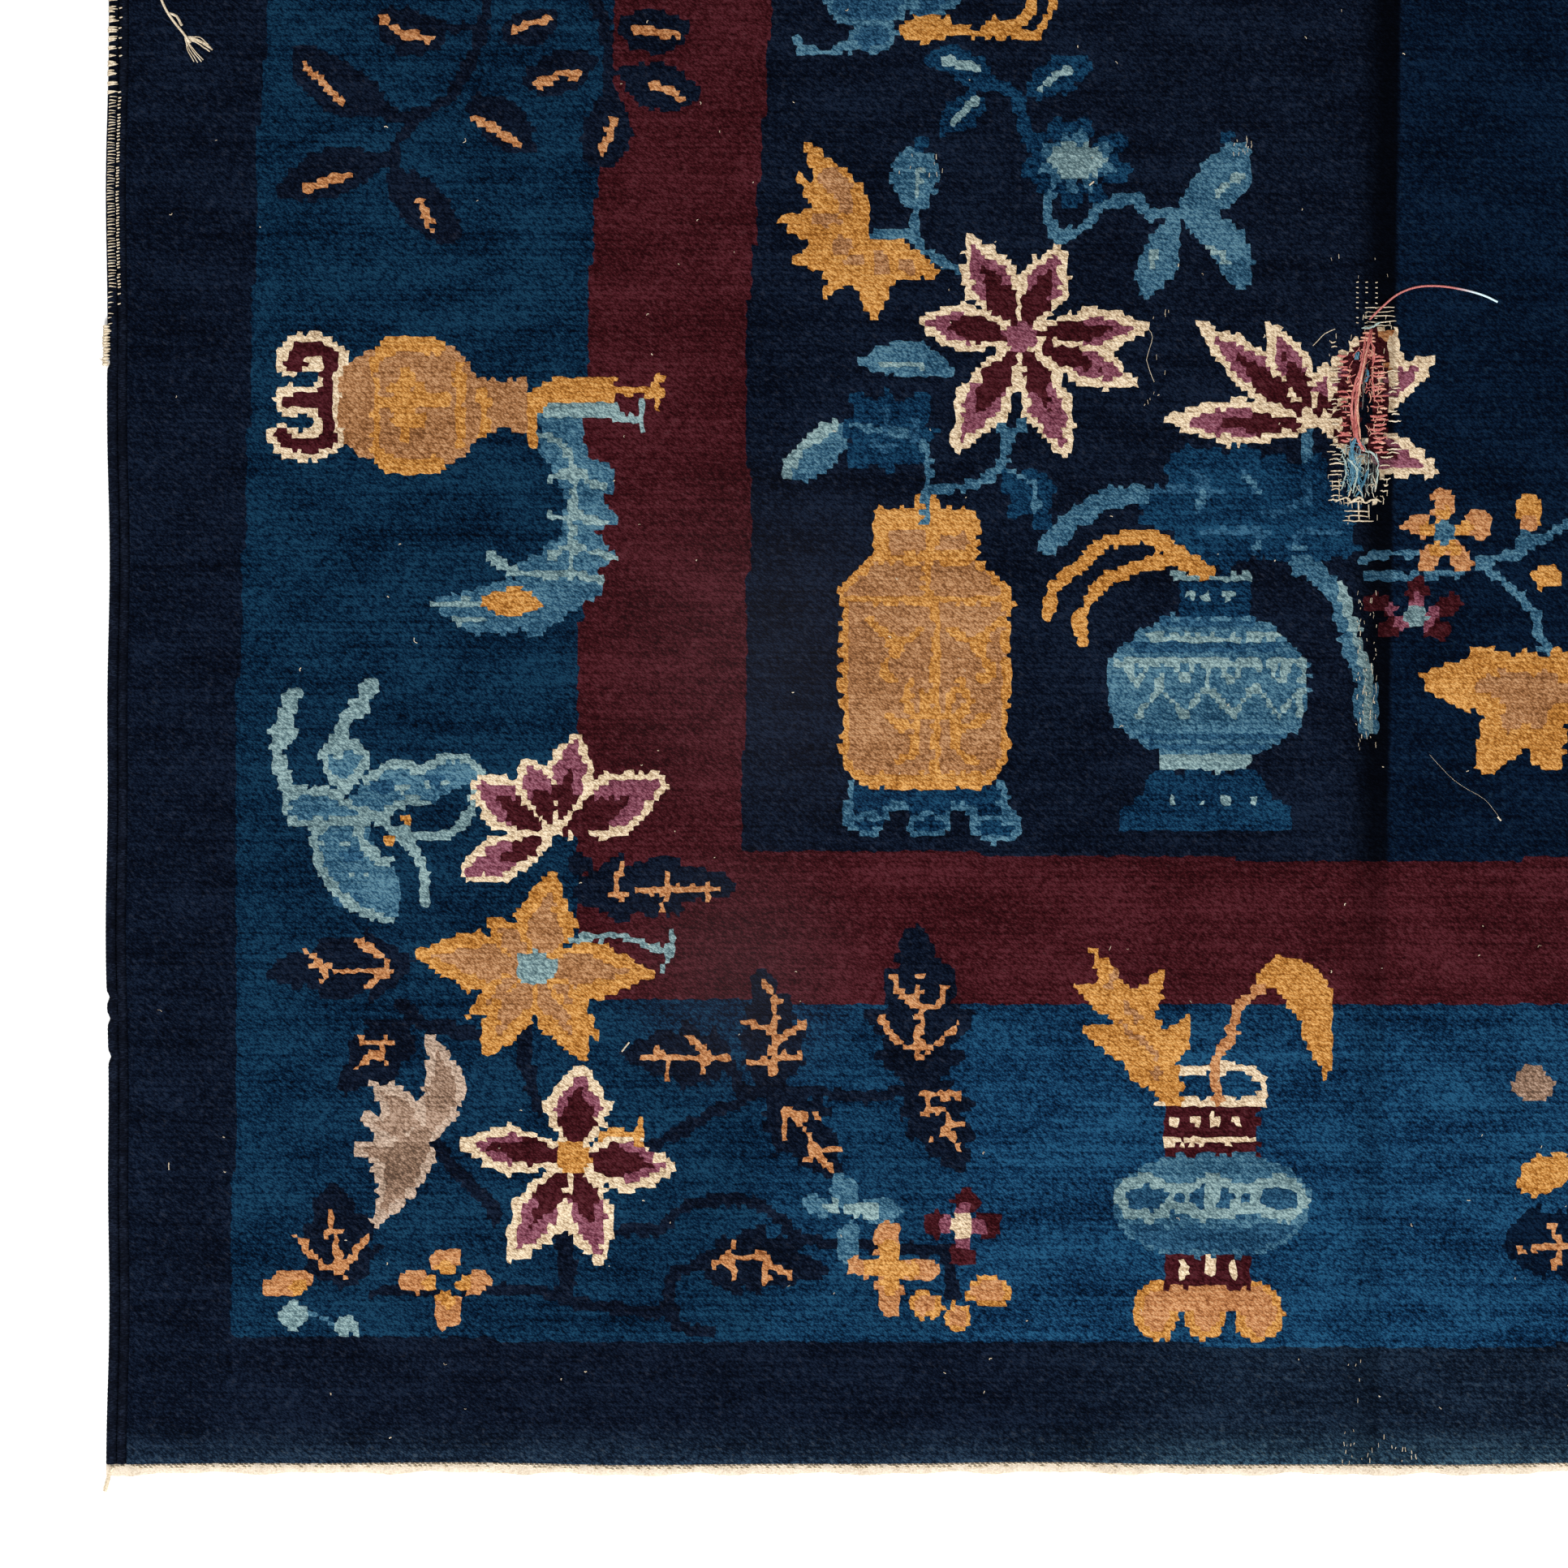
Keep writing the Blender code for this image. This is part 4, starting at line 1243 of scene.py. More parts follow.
cottonTones = [(0.26, 0.19, 0.12), (0.60, 0.50, 0.36), (0.86, 0.78, 0.64)]
greyCottonTones = [(0.020, 0.020, 0.020), (0.075, 0.072, 0.068), (0.30, 0.28, 0.26)]
overcastTones = [(0.0003, 0.0005, 0.0013), (0.0017, 0.0030, 0.0078), (0.0150, 0.0230, 0.0440)]
roseTones = [(0.12, 0.022, 0.022), (0.45, 0.12, 0.11), (0.77, 0.40, 0.34)]
salmonTones = [(0.26, 0.09, 0.06), (0.62, 0.31, 0.22), (0.84, 0.62, 0.48)]
paleBlueTones = [(0.015, 0.06, 0.10), (0.055, 0.18, 0.27), (0.26, 0.44, 0.52)]
fadedTones = [(0.10, 0.16, 0.15), (0.34, 0.43, 0.40), (0.62, 0.70, 0.66)]
webTones = [(0.32, 0.255, 0.185), (0.545, 0.465, 0.365), (0.66, 0.59, 0.50)]


# The darning yarn is rose where it leaves the darn and faded to pale blue at its far end.
def tailMaterial():
    material, tree, place = newMaterial("faded_darning_yarn")
    thread = threadTone(tree, place, (700.0, 1500.0, 900.0), 0.8)
    rose = rampAt(tree, thread, [(0.25, roseTones[0]), (0.80, roseTones[2]), (0.5, roseTones[1])])
    faded = rampAt(tree, thread, [(0.25, (0.26, 0.52, 0.66)), (0.80, (0.85, 0.90, 0.92)),
                                  (0.5, (0.60, 0.80, 0.86))])
    across = addNode(tree, "ShaderNodeSeparateXYZ", {0: place}).outputs[0]
    colour = mixColours(tree, spread(tree, across, 0.078, 0.112), rose, faded)
    finishShader(tree, colour, 0.85, height=thread, bumpDistance=0.0006)
    return material


def floorMaterial():
    material, tree, place = newMaterial("pale_floor")
    colour = rampAt(tree, noiseAt(tree, place, 3.0, 3.0),
                    [(0.2, (0.91, 0.91, 0.91)), (0.8, (0.94, 0.94, 0.94))])
    finishShader(tree, colour, 0.95)
    return material


# Knots: plain areas are merged into larger squares, and every colour edge keeps its single knots.
pileCut = {
    "blockSizes": (6, 3, 2),
    "jitter": (0.19, 0.15),   # how far a knot's corner wanders, in knots
    "mostJitter": 0.38,
    "round": 0.08,            # how far the stair corners of an outline are drawn in
    "edgeDrop": 0.0011,       # the groove between two colours
    "rimDrop": 0.0030,
    "unevenness": 0.00035,
    "least": 0.0008,          # the worn pile's least height
    "sunk": 0.0001,
    "underside": 0.0020,      # points this far under the foundation's top are set level
    "thin": 0.05,             # the share of knots that are gone where it is worn most
    "foldReach": 0.017,
    "sharpAngle": 50,
}
wornStrip = [(1337, 1100), (1352, 1094), (1374, 1098), (1380, 1130), (1376, 1168), (1381, 1206),
             (1372, 1230), (1356, 1232), (1349, 1214), (1333, 1200), (1338, 1160), (1332, 1128)]
wornHolesPaintedShade = [  # the slit and the bare spot where the pile is worn down to the warps, filled low with navy knots as painted shade in the hollow
    ((1356, 1146), (5.5, 52)),
    ((1362, 1074), (6.5, 22)),
]


def wovenKnots():
    weaveSeenCorner()
    drawBar((1382, 1168), (1394, 1230), cream)
    drawBar((1372, 1186), (1383, 1226), rust)
    fillShape(wornStrip, burgundy)
    wool = np.where(design != noMotif, design, groundWool())
    turned = design[::-1, ::-1]  # the far corner has the same sprays, turned half round
    return np.where(turned != noMotif, turned, wool)


def wornKnots(wool):
    rng = np.random.default_rng(23)
    x, y = onRug(acrossMm, alongMm)
    # navy knots stand in for the dark shade inside the worn holes
    for middle, radii in wornHolesPaintedShade:
        across, along = (acrossMm - middle[0]) / radii[0], (alongMm - middle[1]) / radii[1]
        wool = np.where(across ** 2 + along ** 2 < 1, navy, wool)
    thin = rng.uniform(0, 1, wool.shape) < pileCut["thin"] * wearAt(x, y)
    return np.where(thin, noMotif, wool)


def edgeKnots(wool):
    padded = np.pad(wool, 1, constant_values=-2)
    edge = np.zeros(wool.shape, bool)
    for down in (0, 1, 2):
        for over in (0, 1, 2):
            edge |= padded[down:down + wool.shape[0], over:over + wool.shape[1]] != wool
    return edge


# one row for each square: its first row and column, and its side in knots
def cutSquares(wool):
    single = edgeKnots(wool) | (np.abs(onRug(acrossMm, 0)[0]) < pileCut["foldReach"])
    taken = np.zeros(wool.shape, bool)
    squares = []
    for size in pileCut["blockSizes"]:
        rows, columns = wool.shape[0] // size, wool.shape[1] // size
        shape = (rows, size, columns, size)
        busy = (single | taken)[:rows * size, :columns * size].reshape(shape).any(axis=(1, 3))
        for j, i in np.argwhere(~busy):
            squares.append((j * size, i * size, size))
        free = np.repeat(np.repeat(~busy, size, axis=0), size, axis=1)
        taken[:rows * size, :columns * size] |= free
    squares.extend((j, i, 1) for j, i in np.argwhere(~taken & (wool != noMotif)))
    return squares


# corners of the knots on the rug, with the outlines' stairs softened
def knotCorners(wool):
    rng = np.random.default_rng(11)
    x = np.linspace(-bodyHalfWidth, bodyHalfWidth, rug["knotColumns"] + 1)
    y = np.linspace(-bodyHalfLength, bodyHalfLength, rug["knotRows"] + 1)
    x, y = np.meshgrid(x, y)
    inner = np.zeros(x.shape, bool)
    inner[1:-1, 1:-1] = True
    across = rng.normal(0, pileCut["jitter"][0], x.shape)
    along = rng.normal(0, pileCut["jitter"][1], x.shape)
    four = np.stack([wool[:-1, :-1], wool[:-1, 1:], wool[1:, :-1], wool[1:, 1:]])
    for k, (toX, toY) in enumerate(((-1, -1), (1, -1), (-1, 1), (1, 1))):
        others = np.delete(four, k, axis=0)
        odd = (others[0] == others[1]) & (others[1] == others[2]) & (four[k] != others[0])
        across[1:-1, 1:-1] += odd * toX * pileCut["round"]
        along[1:-1, 1:-1] += odd * toY * pileCut["round"]
    most = pileCut["mostJitter"]
    x = x + np.where(inner, np.clip(across, -most, most), 0) * knotWidth
    y = y + np.where(inner, np.clip(along, -most, most), 0) * knotLength
    height = pileHeight(x, y) + pileCut["unevenness"] * rng.normal(0, 1, x.shape)
    differ = (four != four[0]).any(axis=0)
    height[1:-1, 1:-1] -= differ * pileCut["edgeDrop"]
    height = np.maximum(height, pileForm["foundationTop"] + pileCut["least"])
    height[~inner] -= pileCut["rimDrop"]
    x, y = followEdges(x, y)
    return x, y, height


# the square's corners in turn, with those of smaller neighbours between them
def squareOutline(j, i, size, used):
    if size == 1:
        return [(j, i), (j, i + 1), (j + 1, i + 1), (j + 1, i)]
    steps = range(size)
    ring = [(j, i + k) for k in steps] + [(j + k, i + size) for k in steps]
    ring += [(j + size, i + size - k) for k in steps] + [(j + size - k, i) for k in steps]
    return [place for place in ring if used[place]]


def addPile(material):
    wool = wornKnots(wovenKnots())
    squares = cutSquares(wool)
    used = np.zeros((wool.shape[0] + 1, wool.shape[1] + 1), bool)
    for j, i, size in squares:
        used[j, i] = used[j, i + size] = used[j + size, i] = used[j + size, i + size] = True
    x, y, height = knotCorners(wool)
    pieces = []
    for kind, woolName in enumerate(woolNames):
        own = [square for square in squares if wool[square[0], square[1]] == kind]
        piece = addWool("pile_" + woolName, own, wool == kind, used, (x, y, height))
        finishPiece(piece, material[woolName])
        pieces.append(piece)
        print("pile of", woolName, "wool:", len(piece.data.polygons), "faces")
    return pieces


def addWool(name, squares, own, used, corners):
    x, y, height = corners
    framed = np.pad(own, 1)
    low, high = framed[:-1], framed[1:]
    # where two knots meet at one corner only, each gets a corner of its own
    pinched = (low[:, :-1] == high[:, 1:]) & (low[:, 1:] == high[:, :-1]) & (low[:, :-1] != low[:, 1:])
    numbers, points, faces = {}, [], []
    for j, i, size in squares:
        face = []
        for place in squareOutline(j, i, size, used):
            key = (*place, bool(pinched[place] and place[0] == j))
            if key not in numbers:
                numbers[key] = len(points)
                points.append((x[place], y[place], height[place]))
            face.append(numbers[key])
        faces.append(face)
    piece = meshPiece(name, points, faces)
    bpy.ops.object.mode_set(mode="EDIT")
    bpy.ops.mesh.select_all(action="SELECT")
    bpy.ops.mesh.extrude_region_move(TRANSFORM_OT_translate={"value": (0.0, 0.0, -pileForm["top"])})
    faceOutward()
    bpy.ops.object.mode_set(mode="OBJECT")
    places = np.zeros(len(piece.data.vertices) * 3)
    piece.data.vertices.foreach_get("co", places)
    places = places.reshape(-1, 3)
    bottom = places[:, 2] < pileForm["foundationTop"] - pileCut["underside"]
    places[bottom, 2] = pileForm["foundationTop"] - pileCut["sunk"]
    piece.data.vertices.foreach_set("co", places.ravel())
    bpy.ops.object.shade_smooth_by_angle(angle=math.radians(pileCut["sharpAngle"]))
    return piece


# The foundation that the knots stand on: the sheet of cloth itself.
foundationForm = {"columns": 64, "rows": 84, "inset": 0.0002}


def addFoundation(material):
    deselectAll()
    bpy.ops.mesh.primitive_grid_add(x_subdivisions=foundationForm["columns"],
                                    y_subdivisions=foundationForm["rows"], size=2.0, location=(0, 0, 0))
    piece = bpy.context.object
    piece.name = "rug_foundation"
    for vertex in piece.data.vertices:
        x = vertex.co.x * (bodyHalfWidth - foundationForm["inset"])
        y = vertex.co.y * (bodyHalfLength - foundationForm["inset"])
        x, y = followEdges(x, y)
        vertex.co = (x, y, pileForm["foundationTop"])
    solid = piece.modifiers.new("cloth", "SOLIDIFY")
    solid.thickness = pileForm["foundationTop"]
    solid.offset = -1.0
    bpy.ops.object.modifier_apply(modifier=solid.name)
    finishPiece(piece, material)
    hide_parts("rug_body")
    return piece


# A tube along a line of points, with as many sides as asked and a closed end at each side.
def tubeMesh(line, radii, sides, points, faces):
    line = np.array(line, float)
    ahead = np.gradient(line, axis=0)
    ahead /= np.linalg.norm(ahead, axis=1)[:, None]
    up = np.where(np.abs(ahead[:, 2:3]) > 0.9, [[1.0, 0.0, 0.0]], [[0.0, 0.0, 1.0]])
    side = np.cross(ahead, up)
    side /= np.linalg.norm(side, axis=1)[:, None]
    rise = np.cross(side, ahead)
    first = len(points)
    radii = np.broadcast_to(radii, len(line))
    for k in range(len(line)):
        for turn in np.arange(sides) * math.tau / sides:
            points.append(line[k] + radii[k] * (math.cos(turn) * side[k] + math.sin(turn) * rise[k]))
    faces.extend(ringFaces(len(line), sides, first))


def tubesPiece(name, tubes, sides=6):
    points, faces = [], []
    for line, radii in tubes:
        tubeMesh(line, radii, sides, points, faces)
    return solidPiece(name, points, faces, 60)


# Overcast edge cords: wool wound round each cord. The left outer one is worn to its cotton.
edgeForm = {
    "height": 0.0072,
    "arcSteps": 6,
    "baseReach": 0.0003,  # the wool closes the slit between two cords
    "stitchPitch": 0.0046,
    "stepsAStitch": 3,
    "groove": 0.22,
    "slant": 0.0022,
    "wornFrom": -0.590,  # where the left outer cord's wool is worn away, as Y
    "wornTo": 0.020,
    "pinches": (-1.336, -1.295, -1.272, -0.586),  # where the left edge is drawn in
    "pinchDepth": 0.0030,
    "pinchReach": 0.0050,
    "tail": [(-1.3715, -0.5900, 0.0060), (-1.3750, -0.5860, 0.0066), (-1.3805, -0.5815, 0.0060)],
}
wornLoops = [  # from the worn part's lower end upward
    {"upTo": -0.556, "loops": (3, 5), "radius": (0.0015, 0.0021), "reach": (0.0032, 0.0052),
     "start": -0.0034, "dots": 0.0, "gap": (0.0002, 0.0008)},
    {"upTo": -0.505, "loops": (1, 2), "radius": (0.0005, 0.0008), "reach": (0.0045, 0.0080), "start": 0.0012,
     "dots": 0.2, "gap": (0.0028, 0.0060)},
    {"upTo": -0.300, "loops": (1, 2), "radius": (0.0005, 0.0008), "reach": (0.0098, 0.0112), "start": 0.0020,
     "dots": 0.9, "gap": (0.0019, 0.0028)},
    {"upTo": 1.0, "loops": (2, 4), "radius": (0.0009, 0.0016), "reach": (0.0070, 0.0120), "start": 0.0006,
     "dots": 0.7, "gap": (0.0030, 0.0062)},
]


def cordSection(steps):
    width, height = rug["cordWidth"], edgeForm["height"]
    section = [(width + edgeForm["baseReach"], 0.0), (-edgeForm["baseReach"], 0.0)]
    for k in range(steps + 1):
        turn = math.pi * k / steps
        section.append((width / 2 - width / 2 * math.cos(turn), height / 3 + height * 2 / 3 * math.sin(turn)))
    return section


def overcastCord(name, side, place, start, end, pitch, groove, slant, shrink=1.0, seed=3):
    rng = np.random.default_rng(seed)
    section = cordSection(edgeForm["arcSteps"])
    width = rug["cordWidth"]
    inset = place * (width + rug["gap"])
    count = round((end - start) / pitch * edgeForm["stepsAStitch"])
    stitchSize = rng.normal(0, 0.35, count + 2)
    points = []
    for k in range(count + 1):
        y = start + (end - start) * k / count
        atEnd = 1.0 if min(k, count - k) > 0 else 0.92
        middle = rug["width"] / 2 - inset - width / 2 + sideShift(y, side)
        if side < 0 and place == 0:
            for at in edgeForm["pinches"]:
                middle -= edgeForm["pinchDepth"] * math.exp(-((y - at) / edgeForm["pinchReach"]) ** 2)
        toward = math.copysign(1, y)
        for step, (offset, rise) in enumerate(section):
            phase = (y + slant * (offset / width - 0.5) * 2) / pitch
            dip = groove * (0.5 + 0.5 * math.cos(math.tau * phase)) ** 2
            size = shrink * atEnd * (1 - dip - 0.02 * stitchSize[int(phase) % count])
            reach = 1.0 if step < 2 else 1.02 - 0.35 * (1 - size)
            x = side * (middle - (offset - width / 2) * reach)
            along = y + toward * endShift(x, toward) * edgeShare(y, bodyHalfLength)
            points.append((x, along, rise * size))
    return solidPiece(name, points, ringFaces(count + 1, len(section)), 70)


def addEdgeCords(woolLook, cottonLook):
    half = bodyHalfLength
    pitch, groove, slant = edgeForm["stitchPitch"], edgeForm["groove"], edgeForm["slant"]
    pieces = []
    for side, sideName in ((-1, "left"), (1, "right")):
        for place, placeName in enumerate(("outer", "inner")):
            node = f"edge_cord_{sideName}_{placeName}"
            end = edgeForm["wornFrom"] if node == "edge_cord_left_outer" else half
            piece = overcastCord(f"overcast_{sideName}_{placeName}", side, place, -half, end, pitch, groove,
                                 slant, seed=3 + place)
            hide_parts(node)
            pieces.append(finishPiece(piece, woolLook))
    wornFrom, wornTo = edgeForm["wornFrom"], edgeForm["wornTo"]
    upper = overcastCord("overcast_left_outer_upper", -1, 0, wornTo, half, pitch, groove, slant, seed=8)
    pieces.append(finishPiece(upper, woolLook))
    core = overcastCord("worn_edge_core", -1, 0, wornFrom, wornTo, 0.0140, 0.10, 0.0, 0.95, 5)
    pieces.append(finishPiece(core, woolLook))
    # loops of cotton are left round the worn cord: bunches above, then a ladder, then a few near the knob
    rng = np.random.default_rng(31)
    loops = []
    y = wornFrom
    while y < wornTo - 0.012:
        kind = next(kind for kind in wornLoops if y < kind["upTo"])
        bulge = rng.uniform(-0.0004, 0.0006)
        for k in range(rng.integers(*kind["loops"])):
            thick = rng.uniform(*kind["radius"])
            y += 0.9 * thick
            left = -rug["width"] / 2 - sideShift(y, -1) - bulge
            reach, lean = rng.uniform(*kind["reach"]), rng.uniform(-0.0012, 0.0012)
            near = left + kind["start"]
            over = near + 0.6 * (reach - kind["start"])
            line = [(left + reach, y + lean, 0.0076), (over, y + 0.5 * lean, 0.0086),
                    (near + 0.0020, y, 0.0078), (near + 0.0008, y, 0.0056), (near + 0.0014, y, 0.0030)]
            swell = np.interp(np.arange(13), [0, 3, 9, 12], [0.3, 0.85, 1.0, 0.7])
            loops.append((curveThrough(line, 3), thick * swell))
            y += 0.8 * thick
        if rng.uniform() < kind["dots"]:
            line = [(left + 0.0125, y - 0.0022, 0.0080), (left + 0.0155, y - 0.0014, 0.0082)]
            loops.append((line, [0.0009, 0.0006]))
        y += rng.uniform(*kind["gap"])
    loops.append((curveThrough(edgeForm["tail"], 6), np.linspace(0.0014, 0.0002, 13)))
    pieces.append(finishPiece(tubesPiece("worn_cotton_loops", loops, 8), cottonLook))
    return pieces


# The bare web past the last knots: twined cotton over the warps, its ends frayed.
webForm = {
    "rows": (0.0022, 0.0046),  # twined rows, from the last knots outward
    "dashPitch": 0.0056,
    "dashRadius": 0.0011,
    "slabHeight": 0.0036,
    "warpPitch": 0.0055,
    "frayLength": (0.001, 0.0052),
    "columns": 500,
    "section": ((0, 0), (0.97, 0), (1, 0.30), (0.82, 0.80), (0.45, 1), (0.15, 0.8), (0, 0.6)),
    "depth": 0.0118,
    "ragged": 0.0020,
    "warpRadii": (0.0006, 0.0005, 0.0002),
    "cornerYarn": [(-1.3650, -1.7795, 0.0040), (-1.3690, -1.7840, 0.0036), (-1.3715, -1.7930, 0.0030),
                   (-1.3750, -1.8055, 0.0028)],
}


def addWeb(end, name, node, cottonLook, twineLook):
    rng = np.random.default_rng(41 + end)
    halfWidth = rug["width"] / 2
    inner = bodyHalfLength + rug["gap"]
    points = []
    for k, x in enumerate(np.linspace(-halfWidth, halfWidth, webForm["columns"])):
        side = math.copysign(1, x)
        atX = x + side * sideShift(end * bodyHalfLength, side) * edgeShare(x, halfWidth)
        start = inner + endShift(atX, end)
        wave = webForm["ragged"] * math.sin(0.37 * k) * math.cos(0.11 * k)
        ragged = webForm["depth"] + wave + rng.uniform(-0.0005, 0.0005)
        lump = 1 + 0.10 * math.sin(0.9 * k) * math.cos(0.23 * k)
        for depth, rise in webForm["section"]:
            points.append((atX, end * (start + depth * ragged), rise * lump * webForm["slabHeight"]))
    slab = solidPiece(name, points, ringFaces(webForm["columns"], len(webForm["section"])), 60)
    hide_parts(node)
    finishPiece(slab, cottonLook)
    # twining, a slanted dash for each turn of it
    tubes = []
    dashes = int(2 * halfWidth / webForm["dashPitch"])
    for row, depth in enumerate(webForm["rows"]):
        for k in range(dashes):
            x = -halfWidth + (k + 0.5 + 0.5 * (row % 2)) * webForm["dashPitch"] + rng.uniform(-0.0005, 0.0005)
            if abs(x) > halfWidth - 0.003 or rng.uniform() < 0.05 + 0.45 * row:
                continue
            y = inner + depth + endShift(x, end) + rng.uniform(-0.0004, 0.0004)
            lean, rise = 0.0006 * rng.uniform(0.5, 1.3), 0.0034 + 0.0003 * row
            line = [(x - 0.0022, end * (y - lean), rise - 0.0007),
                    (x - 0.0008, end * (y - lean / 2), rise + 0.0003),
                    (x + 0.0008, end * (y + lean / 2), rise + 0.0003),
                    (x + 0.0022, end * (y + lean), rise - 0.0007)]
            thick = webForm["dashRadius"] * rng.uniform(0.8, 1.15)
            tubes.append((line, [0.6 * thick, thick, thick, 0.6 * thick]))
    # warp ends hang out of the twining
    warps = int(2 * halfWidth / webForm["warpPitch"])
    for k in range(warps):
        x = -halfWidth + (k + 0.5) * webForm["warpPitch"] + rng.uniform(-0.001, 0.001)
        if abs(x) > halfWidth - 0.004:
            continue
        start = inner + 0.0055 + endShift(x, end)
        reach = rng.uniform(*webForm["frayLength"])
        swing = rng.uniform(-0.0016, 0.0016)
        line = [(x, end * start, 0.0012), (x + 0.4 * swing, end * (start + 0.5 * reach), 0.0011),
                (x + swing, end * (start + reach), 0.0008)]
        tubes.append((line, webForm["warpRadii"]))
    if end < 0:  # a plied end of web hangs out at the seen corner
        tubes.append((curveThrough(webForm["cornerYarn"], 4), np.linspace(0.0016, 0.0026, 13)))
    piece = tubesPiece(name + "_twining", tubes, 4)
    return [slab, finishPiece(piece, twineLook)]


# The darn on the worn fold, in millimetres of the design like the motifs: rows of short threads that
# lie across it, then the yarns that were laid along it.
darnRows = [  # look, across, along, pitch, radius, share of threads that are left
    ("rose", (1325, 1341), (1108, 1200), 5.4, 1.2, 0.74),
    ("rose", (1361, 1381), (1096, 1204), 5.2, 1.3, 0.80),
    ("salmon", (1332, 1345), (1112, 1190), 6.1, 1.1, 0.85),
    ("salmon", (1366, 1380), (1100, 1196), 6.3, 1.1, 0.85),
    ("salmon", (1348, 1370), (1198, 1230), 4.6, 1.3, 0.85),
    ("cotton", (1379, 1395), (1094, 1190), 6.0, 0.8, 0.85),
    ("cotton", (1314, 1330), (1098, 1216), 5.6, 0.6, 0.70),
    ("cotton", (1314, 1333), (1044, 1096), 5.4, 0.8, 0.90),
    ("cotton", (1370, 1386), (1056, 1096), 6.2, 0.9, 0.90),
    ("cotton", (1352, 1390), (1232, 1262), 5.4, 0.5, 0.75),
    ("cotton", (1330, 1366), (1022, 1042), 6.2, 0.7, 0.95),
]
darnYarns = [  # look, radius, lift over the pile, points
    ("rose", 2.1, 2.6, [(1363, 1230), (1357, 1202), (1348, 1166), (1345, 1138), (1347, 1111), (1355, 1097)]),
    ("rose", 1.4, 2.0, [(1357, 1224), (1351, 1190), (1342, 1160), (1341, 1132), (1345, 1106)]),
    ("salmon", 1.0, 4.4, [(1359, 1214), (1350, 1172), (1347, 1140), (1350, 1110)]),
    ("grey", 0.7, 4.6, [(1359, 1192), (1354, 1170), (1352, 1142)]),
    ("rose", 1.2, 1.6, [(1358, 1226), (1366, 1206), (1364, 1180), (1367, 1150)]),
    ("paleBlue", 3.0, 2.4, [(1347, 1204), (1346, 1196)]),
    ("paleBlue", 1.4, 3.4, [(1357, 1187), (1359, 1178), (1355, 1172)]),
    ("paleBlue", 2.0, 2.0, [(1346, 1115), (1341, 1099), (1345, 1080)]),
    ("paleBlue", 1.3, 1.8, [(1338, 1098), (1342, 1072), (1337, 1050)]),
    ("paleBlue", 1.4, 2.0, [(1350, 1090), (1348, 1066), (1353, 1047)]),
    ("paleBlue", 1.4, 2.8, [(1360, 1078), (1352, 1060), (1345, 1048)]),
    ("faded", 0.9, 1.8, [(1330, 1094), (1335, 1078), (1330, 1056)]),
    ("faded", 1.3, 2.8, [(1336, 1090), (1346, 1076), (1342, 1052)]),
    ("faded", 0.9, 1.2, [(1368, 1098), (1370, 1080), (1368, 1054)]),
    ("faded", 1.2, 2.0, [(1352, 1098), (1364, 1096), (1371, 1086)]),
    ("cotton", 1.1, 1.6, [(1323, 1043), (1334, 1047), (1340, 1043), (1350, 1047), (1356, 1042), (1366, 1046),
                          (1374, 1043)]),
    ("cotton", 1.4, 1.2, [(1337, 1044), (1338, 1022)]),
    ("cotton", 1.4, 1.2, [(1348, 1044), (1349, 1022)]),
    ("cotton", 1.2, 1.2, [(1360, 1044), (1360, 1024)]),
    ("cotton", 0.9, 1.4, [(1327, 1070), (1328, 1040)]),
    ("cotton", 0.7, 1.4, [(1320, 1066), (1321, 1046)]),
    ("faded", 1.5, 3.4, [(1352, 1230), (1362, 1231), (1372, 1237)]),
]
darnTangles = [  # fine threads that lie every way: look, middle, spread, count, length, radius
    ("paleBlue", (1343, 1082), (9, 26), 44, 11, 0.42),
    ("faded", (1347, 1080), (20, 26), 40, 10, 0.36),
    ("rose", (1352, 1180), (14, 26), 26, 9, 0.50),
    ("salmon", (1368, 1160), (10, 50), 30, 8, 0.42),
    ("cotton", (1350, 1056), (24, 12), 18, 9, 0.40),
]
darnDots = {"columns": (1347, 1357, 1368), "low": 1236, "high": 1284, "pitch": 5.4, "radius": 0.55}
bareWarps = {"columns": (1357, 1359.5, 1362, 1364.5, 1367), "low": 1054, "high": 1094, "radius": 0.8}


# a yarn through design points, lying on the pile and bent a little
def lyingLine(points, lift, rng, wobble=1.2, steps=4, sink=0.0):
    path = curveThrough(points, steps)
    path[1:-1] += rng.normal(0, wobble, path[1:-1].shape) * 0.4
    x, y = onRug(path[:, 0], path[:, 1])
    height = pileHeight(x, y) + lift
    height[[0, -1]] -= sink
    return np.stack([x, y, height], axis=1)


